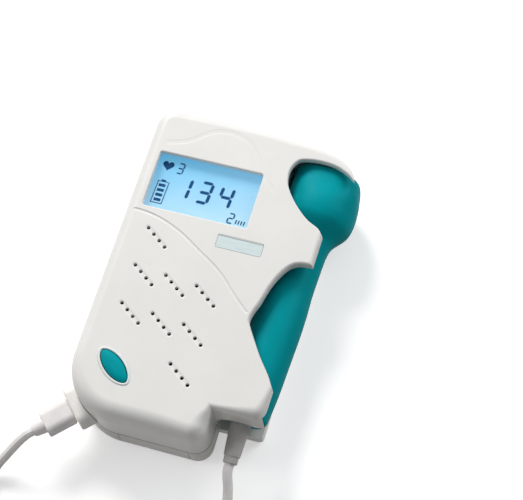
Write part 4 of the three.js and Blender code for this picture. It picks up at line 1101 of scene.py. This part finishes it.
def speaker_cutters():
    """Shallow dished slots, each with a row of round holes"""
    slots = []
    holes = []
    turn = Matrix.Rotation(math.atan2(HOLE_STEP.y, HOLE_STEP.x), 4, "Z")
    reach = HOLE_STEP.length * (HOLES_IN_ROW - 1) + SLOT["beyond"]
    for row in hole_places():
        slot = loft(pill(reach, SLOT["width"], 8), below_face(SLOT_EDGE))
        slot.transform(Matrix.Translation((*(row[0] + row[-1]) / 2, 0)) @ turn)
        slots.append(slot)
        holes += [placed(rod(HOLE_RADIUS, PLATE_UNDERSIDE - OVERRUN, THICKNESS + CLEAR, 16),
                         *place) for place in row]
    return joined(*slots), joined(*holes)


def bay_cuts(floor_of_handle, top_wall_end=FLOOR_REACH):
    """Room for the handle, for the head and for the head's way out to the right"""
    neck = POCKET["bottom"] + GAP
    inside = top_edge_height(FLOOR_REACH) - WALL
    return [
        box((BAY_LEFT, BAY_BOTTOM, floor_of_handle), (BEYOND, neck, WING_UNDERSIDE)),
        box((BAY_LEFT, neck - GAP, WALL), (BEYOND, inside, RIM_UNDERSIDE)),
        box((top_wall_end, neck, WALL), (BEYOND, LENGTH + OVERRUN, RIM_UNDERSIDE)),
    ]


def relief_arch(low):
    """Arched opening in the skirt below the wing, where the strain relief comes out"""
    centre, half, spring, top, steps = RELIEF_ARCH.values()
    shape = [Vector((centre - half, low)), Vector((centre + half, low))]
    shape += [Vector((centre + half * math.cos(turn), spring + (top - spring) * math.sin(turn)))
              for turn in (math.pi * index / steps for index in range(steps + 1))]
    body = slab(plain(shape), -BAY_BOTTOM - GAP, -(NOTCH_HEIGHT - OVERRUN / 2))
    body.transform(Matrix.Rotation(math.pi / 2, 4, "X"))
    return body


def socket_cut():
    """Room for the socket, and the plug's hole through the thin face in front of it"""
    room = turned([(0, -SOCKET_DEPTH), (SOCKET_RADIUS, -SOCKET_DEPTH),
                   (SOCKET_RADIUS, -SOCKET_FACE), (PLUG_HOLE, -SOCKET_FACE), (PLUG_HOLE, OVERRUN),
                   (0, OVERRUN)], 48)
    return aim(room, CORNER_POINT, CORNER_DIRECTION)


def side_button_cuts():
    shape = pill(SIDE_BUTTON["length"] + 2 * GAP, SIDE_BUTTON["height"] + 2 * GAP, 10)
    return joined(*(sideways(slab(shape, -OVERRUN, WALL + GAP), (0, y, SIDE_BUTTON_HEIGHT))
                    for y in SIDE_BUTTONS.values()))


def side_button(y):
    """Cap with a rounded face, and the flange that holds it behind the wall"""
    face, inner, flange = -SIDE_BUTTON["proud"], WALL + GAP, -SIDE_BUTTON["flange"]
    crown = rounded_edge(face, -SIDE_BUTTON["crown"], SIDE_BUTTON["round"], 6)[::-1]
    cap = loft(pill(SIDE_BUTTON["length"], SIDE_BUTTON["height"], 12), [
        *crown, (inner, 0.0), (inner, flange), (inner + SIDE_BUTTON["thickness"], flange)])
    return sideways(cap, (0, y, SIDE_BUTTON_HEIGHT))


def jack_cuts():
    low = LENGTH - WALL - OVERRUN / 2
    return joined(*(aim(rod(JACK_RADIUS, 0, WALL + 2 * OVERRUN), Vector((x, low, JACK_HEIGHT)),
                        Vector((0, 1, 0))) for x in JACK_PLACES))


def front_blank(casing):
    """Front shell's outside: the outline with its changing rounding at the front face"""
    ring = casing_outline()
    edges = [rounded_edge(THICKNESS, radius, radius, 8)
             for radius in map(front_rounding(casing), ring)]
    levels = [[list(values) for values in zip(*level)] for level in zip(*edges)]
    return loft(ring, [(REAR_HEIGHT, 0.0), *levels])


def rear_blank():
    """Rear shell's outside: the outline, rounded at the back, up to the bay's open side"""
    levels = [*rounded_edge(0.0, -REAR_ROUND, REAR_ROUND, 5)[::-1], (REAR_HEIGHT - GAP, 0.0)]
    right = box((FLOOR_REACH, -OVERRUN, -OVERRUN), (BEYOND, LENGTH + OVERRUN, THICKNESS))
    return without(loft(casing_outline(), levels), right)


# Lead
def smooth_route(points, steps):
    """Centripetal curve through points in space, sampled evenly between them"""
    def between(first, second, low, high):
        return first * ((high - at) / (high - low)) + second * ((at - low) / (high - low))

    padded = padded_ends(points)
    route = []
    for index in range(1, len(padded) - 2):
        near = padded[index - 1:index + 3]
        knots = [0.0]
        for start, end in zip(near, near[1:]):
            knots.append(knots[-1] + (end - start).length ** 0.5)
        for step in range(steps):
            at = knots[1] + (knots[2] - knots[1]) * step / steps
            lines = [between(near[i], near[i + 1], knots[i], knots[i + 1]) for i in range(3)]
            curves = [between(lines[i], lines[i + 1], knots[i], knots[i + 2]) for i in range(2)]
            route.append(between(*curves, knots[1], knots[2]))
    return [*route, padded[-2]]


COIL_ANGLE = COIL["turns"] * 2 * math.pi + math.radians(COIL["exit"])
SPIRAL_ANGLE = (COIL_ANGLE - math.pi) / 2
COIL_SPREAD = COIL["pitch"] * SPIRAL_ANGLE / (2 * math.pi)
COIL_INNER = COIL["mean"] / 2 - COIL_SPREAD / 2


def coil_point(angle):
    """In along the lower layer, up at the middle and out along the upper layer"""
    climb = clamped((angle - SPIRAL_ANGLE) / math.pi)
    wound = max(SPIRAL_ANGLE - angle, 0.0, angle - SPIRAL_ANGLE - math.pi)
    radius = (COIL_INNER + COIL["pitch"] * wound / (2 * math.pi)
              - COIL["dip"] * math.sin(climb * math.pi))
    return Vector((COIL["x"] + radius * math.cos(angle), COIL["y"] - radius * math.sin(angle),
                   COIL["low"] + COIL["layer"] * eased(climb)))


def coil_route():
    count = round(COIL_ANGLE / (2 * math.pi) * COIL["steps"])
    points = [coil_point(COIL_ANGLE * index / count) for index in range(count + 1)]
    ends = []
    for end, inner in ((points[0], points[1]), (points[-1], points[-2])):
        away = end - inner
        away.z = 0
        ends.append(end + away.normalized() * LEAD)
    return [ends[0], *points, ends[1]]


def lead_route():
    coil = coil_route()
    into = (coil[1] - coil[0]).normalized()
    out = (coil[-1] - coil[-2]).normalized()
    start = RELIEF_END - RELIEF_DIRECTION * LEAD_INSIDE
    end = PLUG_TIP - CORNER_DIRECTION * LEAD_INSIDE
    first = [start, start + RELIEF_DIRECTION * LEAD, *PROBE_RUN,
             coil[0] - into * (GAP + LEAD), coil[0] - into * GAP]
    last = [coil[-1] + out * GAP, coil[-1] + out * (GAP + LEAD), *PLUG_RUN,
            end + CORNER_DIRECTION * LEAD, end]
    return [*smooth_route(first, 4), *coil, *smooth_route(last, 4)]


def tube(points, radius):
    """Round tube along a route in metres, made from a bevelled curve"""
    curve = bpy.data.curves.new("route", "CURVE")
    curve.dimensions = "3D"
    curve.bevel_depth = radius
    curve.bevel_resolution = 3
    curve.use_fill_caps = True
    curve.twist_mode = "MINIMUM"
    run = curve.splines.new("POLY")
    run.points.add(len(points) - 1)
    for point, place in zip(run.points, points):
        point.co = (*place, 1)
    carrier = bpy.data.objects.new("route", curve)
    mesh = bpy.data.meshes.new_from_object(carrier)
    bpy.data.objects.remove(carrier)
    bpy.data.curves.remove(curve)
    body = bmesh.new()
    body.from_mesh(mesh)
    bpy.data.meshes.remove(mesh)
    bmesh.ops.remove_doubles(body, verts=body.verts, dist=MERGED_LEAD)
    return body


def coil_tie(side):
    """Strap drawn close round the turns that it passes over"""
    spread = [abs(point.y - COIL["y"]) - COIL["mean"] / 2 for point in coil_route()
              if abs(point.x - COIL["x"]) < TIE["width"] and side * (point.y - COIL["y"]) > 0]
    room = LEAD / 2 + GAP / 2
    ends = sorted((side * (min(spread) - room), side * (max(spread) + room)))
    ring = {"left": ends[0], "right": ends[1], "bottom": COIL["low"] - LEAD / 2 - GAP,
            "top": COIL["low"] + COIL["layer"] + LEAD / 2 + GAP}
    half, soft = TIE["width"] / 2, TIE["soft"]
    outer = rounded_rectangle(ring, TIE["outer"], TIE["thickness"], 6)
    inner = rounded_rectangle(ring, TIE["inner"], 0.0, 6)
    band = loft(outer, [(-half, soft), (-half + soft, 0.0), (half - soft, 0.0), (half, soft)])
    band = without(band, slab(inner, -half - CLEAR, half + CLEAR))
    return sideways(band, (COIL["x"], COIL["y"] + side * COIL["mean"] / 2, 0))


def corner_frame(body):
    """Moves a body whose x, y and z run across, up and out of the plug's corner"""
    up = Vector((0, 0, 1))
    across = up.cross(CORNER_DIRECTION)
    basis = Matrix((across, up, CORNER_DIRECTION)).transposed().to_4x4()
    body.transform(Matrix.Translation(CORNER_POINT) @ basis)
    return body


# Display figures
def printed(ring):
    return slab(counter_clockwise(ring), 0.0, INK)


def figure_segments(figure, x, y, height, stroke):
    """Bars of one slanted figure, with gaps at their mitred ends"""
    width = height * FIGURE_WIDTH_SHARE
    trim = stroke * FIGURE_TRIM_SHARE
    bodies = []
    for name in FIGURES[figure]:
        start, end = (Vector((across * width, up * height)) for across, up in SEGMENTS[name])
        run = (end - start).normalized()
        side = Vector((-run.y, run.x)) * stroke / 2
        tip = run * stroke / 2
        start, end = start + run * trim, end - run * trim
        ring = [start - tip, start - side, end - side, end + tip, end + side, start + side]
        bodies.append(printed([Vector((x + at.x + SLANT * at.y, y + at.y)) for at in ring]))
    return bodies


def bar(left, bottom, width, height, slant=0.0):
    lean = slant * height
    return printed([Vector((left, bottom)), Vector((left + width, bottom)),
                    Vector((left + width + lean, bottom + height)),
                    Vector((left + lean, bottom + height))])


def heart():
    scale = HEART["size"] / (2 * HEART_HALF)
    ring = []
    for index in range(HEART["steps"]):
        turn = 2 * math.pi * index / HEART["steps"]
        across = HEART_HALF * math.sin(turn) ** 3
        up = sum(height * math.cos(wave * turn) for wave, height in enumerate(HEART_WAVES, 1))
        ring.append(Vector((HEART["x"] + across * scale, HEART["y"] + up * scale)))
    return printed(plain(ring))


def battery_mark():
    """Outline of a standing cell with its bars"""
    left, bottom, width, height, thin, slant, bars = BATTERY_MARK.values()
    step = (height - 4 * thin) / bars
    nub_start, nub_width = BATTERY_NUB_SHARES
    margin, both_margins = BATTERY_BAR_LINES
    return [
        bar(left, bottom, thin, height, slant),
        bar(left + width - thin, bottom, thin, height, slant),
        bar(left + thin, bottom, width - 2 * thin, thin, slant),
        bar(left + thin, bottom + height - thin, width - 2 * thin, thin),
        bar(left + width * nub_start, bottom + height, width * nub_width, thin * 2),
        *(bar(left + margin * thin, bottom + 3 * thin + index * step,
              width - both_margins * thin, step * BATTERY_BAR_SHARE, slant)
          for index in range(bars)),
    ]


# Pieces
class DopplerPiece:
    """Shared by the operators that build a piece"""

    bl_options = {"REGISTER"}

    def execute(self, context):
        self.build(context)
        return {"FINISHED"}


class DOPPLER_OT_stage(DopplerPiece, bpy.types.Operator):
    """Sets up the camera, the lamps and the floor"""

    bl_idname = "doppler.stage"
    bl_label = "Stage"

    def build(self, context):
        scene = context.scene
        scene.view_settings.view_transform = "Standard"
        self.camera(scene)
        self.floor()
        self.world(scene)
        for name, lamp in LAMPS.items():
            self.lamp(scene, name, *lamp)

    def camera(self, scene):
        azimuth, elevation, roll = (
            math.radians(VIEW[name]) for name in ("azimuth", "elevation", "roll"))
        back = Vector((math.sin(azimuth) * math.cos(elevation),
                       -math.cos(azimuth) * math.cos(elevation), math.sin(elevation)))
        right = Vector((math.cos(azimuth), math.sin(azimuth), 0))
        up = back.cross(right)
        across = math.cos(roll) * right + math.sin(roll) * up
        above = -math.sin(roll) * right + math.cos(roll) * up
        eye = (VIEW_CENTRE - VIEW["across"] * across - VIEW["up"] * above
               + VIEW["distance"] * back)
        lens = bpy.data.cameras.new("Camera")
        lens.sensor_width = SENSOR
        lens.lens = VIEW["focal"] * SENSOR / VIEW["width"]
        lens.clip_start = VIEW["near"]
        camera = bpy.data.objects.new("Camera", lens)
        turn = Matrix((across, above, back)).transposed().to_4x4()
        camera.matrix_world = Matrix.Translation(PLACE @ eye) @ turn
        scene.collection.objects.link(camera)
        scene.camera = camera

    def seen(self, finish):
        """1 where the camera looks straight at it, or past glass or in a reflection"""
        straight, mirrored, past_glass = finish.outputs(
            finish.node("ShaderNodeLightPath"),
            "Is Camera Ray", "Is Glossy Ray", "Is Transmission Ray")
        return finish.between(straight + mirrored + past_glass, 0.0, 1.0)

    def floor(self):
        body = bmesh.new()
        bmesh.ops.create_grid(body, x_segments=1, y_segments=1, size=FLOOR["half"])
        floor = linked("floor", placed(body, 0, 0, -FLOOR["below"]))
        finish = Finish("Pale floor")
        matt, bright = (finish.node("ShaderNodeBsdfDiffuse", values={"Color": rgba(FLOOR[key])})
                        for key in ("bounce", "colour"))
        glow = finish.node("ShaderNodeEmission", values={
            "Color": rgba((1, 1, 1)), "Strength": FLOOR["glow"]})
        lit = finish.node("ShaderNodeAddShader", values={0: bright, 1: glow})
        shader = finish.node("ShaderNodeMixShader", values={0: self.seen(finish), 1: matt, 2: lit})
        finish.node("ShaderNodeOutputMaterial", values={"Surface": shader})
        floor.data.materials.append(finish.owner)

    def world(self, scene):
        """Soft light from all sides, white where the camera sees it"""
        studio = Finish("Studio", for_world=True)
        soft, white = (studio.node("ShaderNodeBackground", values={
            "Color": rgba(colour), "Strength": strength}) for colour, strength in (
                (SURROUND["colour"], SURROUND["strength"]), ((1, 1, 1), 1.0)))
        straight = studio.node("ShaderNodeLightPath", output="Is Camera Ray")
        light = studio.node("ShaderNodeMixShader", values={0: straight, 1: soft, 2: white})
        studio.node("ShaderNodeOutputWorld", values={"Surface": light})
        scene.world = studio.owner

    def lamp(self, scene, name, place, size, power, colour):
        data = bpy.data.lights.new(name, "AREA")
        data.shape = "DISK"
        data.size = size * MM
        data.energy = power
        data.color = colour
        lamp = bpy.data.objects.new(name, data)
        scene.collection.objects.link(lamp)
        spot = PLACE @ Vector(place)
        turn = (spot - PLACE @ LAMP_TARGET).to_track_quat("Z", "Y").to_matrix().to_4x4()
        lamp.matrix_world = Matrix.Translation(spot) @ turn


class DOPPLER_OT_plug(DopplerPiece, bpy.types.Operator):
    """Builds the plug's collar and overmould in the lower left corner"""

    bl_idname = "doppler.plug"
    bl_label = "Plug"

    def build(self, context):
        proud, round_off = COLLAR["proud"], COLLAR["round"]
        collar = loft(pill(COLLAR["width"], COLLAR["height"], 14), [
            (-WALL, 0.0), *rounded_edge(proud, round_off, round_off, 4)])
        casing = placed(rod(LOWER_LEFT_RADIUS + GAP, 0, THICKNESS, 128),
                        LOWER_LEFT_RADIUS, LOWER_LEFT_RADIUS)
        barrel = corner_frame(rod(BARREL["radius"], -BARREL["length"], WALL))
        collar = combined(corner_frame(collar), [("DIFFERENCE", casing), ("UNION", barrel)])
        finished("collar", collar, "collar", "monitor", ("plug_collar",))
        start = proud + GAP
        end = start + OVERMOULD["length"]
        tip = end + OVERMOULD["relief"]
        half, soft, mouth = OVERMOULD["height"] / 2, OVERMOULD["round"], OVERMOULD["tip"]
        body = loft(pill(OVERMOULD["width"], OVERMOULD["height"], 14), [
            (start, soft), (start + soft, 0.0), *from_here(OVERMOULD_END, end)])
        boot = axis_to_axis(
            [*from_here(BOOT_ROOT, end, half), *from_here(BOOT_TIP, tip, mouth)])
        body = combined(body, [("UNION", turned(boot, 40))])
        finished("overmould", corner_frame(body), "lead", "monitor", ("plug_overmould",))


class DOPPLER_OT_lead(DopplerPiece, bpy.types.Operator):
    """Builds the lead from the probe through its coil to the plug, and the coil's ties"""

    bl_idname = "doppler.lead"
    bl_label = "Lead"

    def build(self, context):
        route = [PLACE @ point for point in lead_route()]
        body = tube(route, LEAD / 2 * MM)
        body.transform(PLACE.inverted())
        lead = finished("lead", body, "lead", None)
        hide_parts("lead_probe_run", "lead_coil", "lead_plug_run")
        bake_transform(lead)
        ties = [finished(f"tie_{name}", coil_tie(side), "tie", "monitor", (f"coil_tie_{name}",))
                for name, side in (("far", 1), ("near", -1))]
        length = sum((a - b).length for a, b in zip(route, route[1:]))


class DOPPLER_OT_front_shell(DopplerPiece, bpy.types.Operator):
    """Builds the front shell with its window, speaker holes, scoop and probe pocket"""

    bl_idname = "doppler.front_shell"
    bl_label = "Front shell"

    def build(self, context):
        body = front_blank(context.scene.doppler_casing)
        high = THICKNESS + OVERRUN
        body = without(
            body,
            slab(electronics_outline(), REAR_HEIGHT - GAP, PLATE_UNDERSIDE),
            *bay_cuts(REAR_HEIGHT - GAP, TOP_WALL_END),
            relief_arch(REAR_HEIGHT - GAP),
            flared(side_outline(SCOOP, SCOOP_SHARES), REAR_HEIGHT, high, SCOOP_FLARE),
            flared(side_outline(POCKET, POCKET_SHARES), REAR_HEIGHT, high, POCKET_FLARE),
            flared(rounded_rectangle(WINDOW, WINDOW_CORNER), REAR_HEIGHT, high, WINDOW_FLARE, 3),
            slab(button_outline(LIP_REACH + LIP_WIDTH), THICKNESS - LIP_DEPTH, high),
            slab(button_outline(GAP), REAR_HEIGHT, high),
            loft(rounded_rectangle(LABEL, LABEL_CORNER, LABEL_MARGIN), below_face(LABEL_EDGE)),
            side_button_cuts(), jack_cuts(), socket_cut(),
            placed(rod(WHEEL_RADIUS + GAP, WHEEL_LOW - GAP, WHEEL_HIGH + GAP, 64), *WHEEL_PLACE),
            *(groove_cutter(*groove) for groove in GROOVES), *speaker_cutters())
        finished("front_casing", body, "shell", "monitor", ("front_shell",), recalculate=False)


class DOPPLER_OT_rear_shell(DopplerPiece, bpy.types.Operator):
    """Builds the rear shell with the probe's cradle, and the battery door"""

    bl_idname = "doppler.rear_shell"
    bl_label = "Rear shell and door"

    def build(self, context):
        high = REAR_HEIGHT + OVERRUN
        screws = [placed(rod(SCREW["head"], -OVERRUN, SCREW["sunk"]), *place)
                  for place in SCREW_PLACES]
        shafts = [placed(rod(SCREW["shaft"], -OVERRUN, high, 24), *place)
                  for place in SCREW_PLACES]
        body = without(
            rear_blank(),
            slab(electronics_outline(), WALL, high),
            *bay_cuts(CRADLE_HEIGHT),
            box((BAY_LEFT, NOTCH_HEIGHT - OVERRUN / 2, CRADLE_HEIGHT),
                (BEYOND, BAY_BOTTOM + GAP, high)),
            box((BAY_LEFT + WALL, BAY_BOTTOM + WALL, WALL),
                (FLOOR_REACH - WALL, POCKET["bottom"], CRADLE_HEIGHT + GAP)),
            self.door_box(GAP, DOOR["top"] + GAP, WALL + GAP),
            self.door_box(GAP, WALL + GAP, high),
            joined(*screws), joined(*shafts), socket_cut())
        saddles = [box((BAY_LEFT, y, WALL - GAP),
                       (FLOOR_REACH - WALL / 2, y + SADDLE_WIDTH, CRADLE_HEIGHT))
                   for y in (PROBE_BASE + share * PROBE_LENGTH for share in SADDLE_SHARES)]
        body = combined(body, [("UNION", joined(*saddles))])
        finished("rear_casing", body, "shell", "monitor", ("rear_shell",), recalculate=False)
        plate = combined(self.door_box(0, DOOR["top"], WALL),
                         [("UNION", self.door_box(0, WALL, REAR_HEIGHT))])
        cover = combined(rear_blank(), [("INTERSECT", plate), ("DIFFERENCE", self.grips())])
        finished("rear_door", cover, "shell", "battery_door", ("battery_door",),
                 recalculate=False)

    def door_box(self, gap, top, height):
        return box((DOOR["left"] - gap, -OVERRUN, -OVERRUN), (DOOR["right"] + gap, top, height))

    def grips(self):
        """Cutter for the thumb grooves of the door"""
        width = (DOOR["right"] - DOOR["left"]) / 2
        left = DOOR["left"] + width / 2
        lows = [DOOR_GRIP["bottom"] + DOOR_GRIP["pitch"] * index
                for index in range(DOOR_GRIP["count"])]
        return joined(*(rounded_box(
            (left, low, -WALL), (left + width, low + DOOR_GRIP["width"], DOOR_GRIP["depth"]),
            DOOR_GRIP["round"]) for low in lows))


class DOPPLER_OT_buttons(DopplerPiece, bpy.types.Operator):
    """Builds the power button, its lip and the side buttons, and finishes the wheel"""

    bl_idname = "doppler.buttons"
    bl_label = "Buttons and wheel"

    def build(self, context):
        self.power_button()
        self.lip()
        for name, y in SIDE_BUTTONS.items():
            finished(f"cap_{name}", side_button(y), "teal_plastic", f"{name}_button",
                     (f"{name}_button",))
        dress("black_plastic", "volume_wheel")

    def power_button(self):
        low, edge = PLATE_UNDERSIDE - GAP, THICKNESS - BUTTON_EDGE
        wide, ring = button_outline(BUTTON_FLANGE["reach"]), button_outline(0)
        rings = [[Vector((*point, height)) for point in outline] for outline, height in (
            (wide, low - BUTTON_FLANGE["thickness"]), (wide, low), (ring, low), (ring, edge))]
        for sine, cosine in quarter(10)[1:-1]:
            share = cosine ** BUTTON_CROWN_POWER
            height = edge + (THICKNESS + BUTTON_PROUD - edge) * sine
            rings.append([Vector((*BUTTON_PLACE.lerp(point, share), height)) for point in ring])
        finished("button", stacked(rings), "teal_plastic", "power_button", ("power_button",))

    def lip(self):
        low, high = THICKNESS - LIP_DEPTH + GAP, THICKNESS + LIP_PROUD
        outer = loft(button_outline(LIP_REACH + LIP_WIDTH - LIP_SLACK), [
            (low, 0.0), (THICKNESS, 0.0), *from_here(LIP_OUTER_EDGE, high)])
        inner = loft(button_outline(GAP), [
            (low - CLEAR, 0.0), *from_here(LIP_INNER_EDGE, high)])
        finished("button_ring", without(outer, inner), "button_lip", "monitor",
                 ("power_button_lip",))


class DOPPLER_OT_display(DopplerPiece, bpy.types.Operator):
    """Finishes the display and draws its figures"""

    bl_idname = "doppler.display"
    bl_label = "Display"

    def build(self, context):
        for slot, node in (("clear_lens", "display_lens"), ("display", "display_panel"),
                           ("diffuser", "display_backlight"), ("black_plastic", "display_frame"),
                           ("label", "label_plate")):
            dress(slot, node)
        tall = context.scene.doppler_controls.figure_height / MM
        bodies = [heart(), *battery_mark()]
        for figure, left in LARGE_FIGURES["places"]:
            bodies += figure_segments(
                figure, left, LARGE_FIGURES["bottom"], tall, LARGE_FIGURES["stroke"])
        for figure, left, bottom, height in SMALL_FIGURES:
            bodies += figure_segments(figure, left, bottom, height, SMALL_STROKE)
        bodies += [bar(STROKES["left"] + index * STROKES["pitch"], STROKES["bottom"],
                       STROKES["width"], STROKES["height"], SLANT)
                   for index in range(STROKES["count"])]
        finished("figures", placed(joined(*bodies), 0, 0, PANEL_TOP + INK_LIFT), "ink", "monitor")


class DOPPLER_OT_probe(DopplerPiece, bpy.types.Operator):
    """Builds the probe's covers, its acoustic face and its strain relief"""

    bl_idname = "doppler.probe"
    bl_label = "Probe"

    def outline(self):
        shares = [*((radius * HANDLE_RADIUS, at * PROBE_LENGTH) for at, radius in HANDLE_SHARES),
                  *((radius * HEAD_RADIUS, at * PROBE_LENGTH) for at, radius in HEAD_SHARES)]
        return spline(shares, 6)

    def cover(self, front):
        """Front or rear half of the hollow probe, cut along its seam"""
        outer = self.outline()
        inner = [point - Vector((PROBE_WALL, 0)) for point in outer
                 if PROBE_WALL < point.y < PROBE_LENGTH - PROBE_RIM["thickness"] - PROBE_WALL]
        inner.reverse()
        lip, end = LENS_RADIUS + GAP, outer[-1]
        rim = end.y + PROBE_RIM["proud"]
        profile = plain([
            Vector((PROBE_BASE_HOLE, 0)), *outer, Vector((end.x - PROBE_RIM["outer"], rim)),
            Vector((lip + PROBE_RIM["inner"], rim)), Vector((lip, end.y)),
            Vector((lip, inner[0].y)), *inner, Vector((inner[-1].x, PROBE_WALL)),
            Vector((PROBE_BASE_HOLE, PROBE_WALL))])
        whole = on_probe(turned([*profile, profile[0]], 96))
        seam, far = PROBE_HEIGHT + (GAP if front else -GAP) / 2, BEYOND + LENGTH
        low, high = (seam, far) if front else (-far, seam)
        return combined(whole, [("INTERSECT", box((0, 0, low), (far, far, high)))])

    def build(self, context):
        for name, front in (("front_cover", True), ("rear_cover", False)):
            finished(f"{name}_of_probe", self.cover(front), "teal_plastic", "probe",
                     (f"probe_{name}",), recalculate=False)
        low = PROBE_LENGTH - LENS_DEPTH
        crown = [(LENS_RADIUS - inset, height) for height, inset in rounded_edge(
            PROBE_LENGTH, LENS_CROWN, LENS_RADIUS, 10)]
        lens = on_probe(turned([(0, low), (LENS_RADIUS, low), *crown], 64))
        finished("acoustic_face", lens, "teal_plastic", "probe", ("probe_lens",))
        self.relief()
        dress("ceramic", "transducer_disc")
        dress("black_plastic", "backing_block")
        dress("board", "probe_board")

    def relief(self):
        """Tapered boot with a plain band at its tip"""
        root, tip, length = RELIEF["root"], RELIEF["tip"], RELIEF["length"]
        band = length - RELIEF["band"]
        neck = 2 * RELIEF["inside"]
        shoulder = from_here(RELIEF_SHOULDER, neck, root)
        step = from_here(RELIEF_BAND, band, tip)
        profile = axis_to_axis([
            *from_here(RELIEF_BASE, 0, root), shoulder[0], *line(shoulder[1], step[0], 4),
            *step[1:], *from_here(RELIEF_TIP, length, tip)])
        body = aim(turned(profile, 48), RELIEF_START, RELIEF_DIRECTION)
        finished("relief", body, "grey_rubber", "probe", ("probe_strain_relief",))


class DOPPLER_OT_inner_parts(DopplerPiece, bpy.types.Operator):
    """Finishes the parts inside the casing, the jacks and the screws"""

    bl_idname = "doppler.inner_parts"
    bl_label = "Inner parts"

    def build(self, context):
        dress("board", "main_board")
        dress("steel", "volume_potentiometer", "speaker_frame", "speaker_magnet",
              *(f"casing_screw_{index}" for index in range(1, 5)))
        dress("black_plastic", "power_switch", "mode_switch", "start_switch", "charging_jack",
              "headphone_jack", "speaker_cone", "battery_holder", "probe_socket")
        dress("grey_rubber", "power_button_pad")
        dress("brass", "battery_contact_minus", "battery_contact_plus")
        dress("cell", "battery_cell_1", "battery_cell_2")


class DOPPLER_PT_pieces(bpy.types.Panel):
    """Lists the sizes, the colours and the pieces of the monitor"""

    bl_idname = "DOPPLER_PT_pieces"
    bl_label = "Doppler monitor"
    bl_space_type = "VIEW_3D"
    bl_region_type = "UI"
    bl_category = "Doppler"

    def draw(self, context):
        for group in (context.scene.doppler_casing, context.scene.doppler_controls,
                      context.scene.doppler_probe):
            box_of_group = self.layout.box()
            for name in group.__annotations__:
                box_of_group.prop(group, name)
        for operator in OPERATORS:
            self.layout.operator(operator.bl_idname)


OPERATORS = (
    DOPPLER_OT_stage, DOPPLER_OT_plug, DOPPLER_OT_lead, DOPPLER_OT_front_shell,
    DOPPLER_OT_rear_shell, DOPPLER_OT_buttons, DOPPLER_OT_display, DOPPLER_OT_probe,
    DOPPLER_OT_inner_parts,
)
SETTINGS = {"doppler_casing": CasingSettings, "doppler_controls": ControlSettings,
            "doppler_probe": ProbeSettings}


def register():
    for kind in (*SETTINGS.values(), *OPERATORS, DOPPLER_PT_pieces):
        bpy.utils.register_class(kind)
    for name, kind in SETTINGS.items():
        setattr(bpy.types.Scene, name, PointerProperty(type=kind))


def unregister():
    for name in SETTINGS:
        delattr(bpy.types.Scene, name)
    for kind in (DOPPLER_PT_pieces, *reversed(OPERATORS), *SETTINGS.values()):
        bpy.utils.unregister_class(kind)


def main():
    register()
    make_materials(bpy.context.scene)
    for operator in OPERATORS:
        group, name = operator.bl_idname.split(".")
        getattr(getattr(bpy.ops, group), name)()
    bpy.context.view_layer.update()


if __name__ == "__main__":
    main()
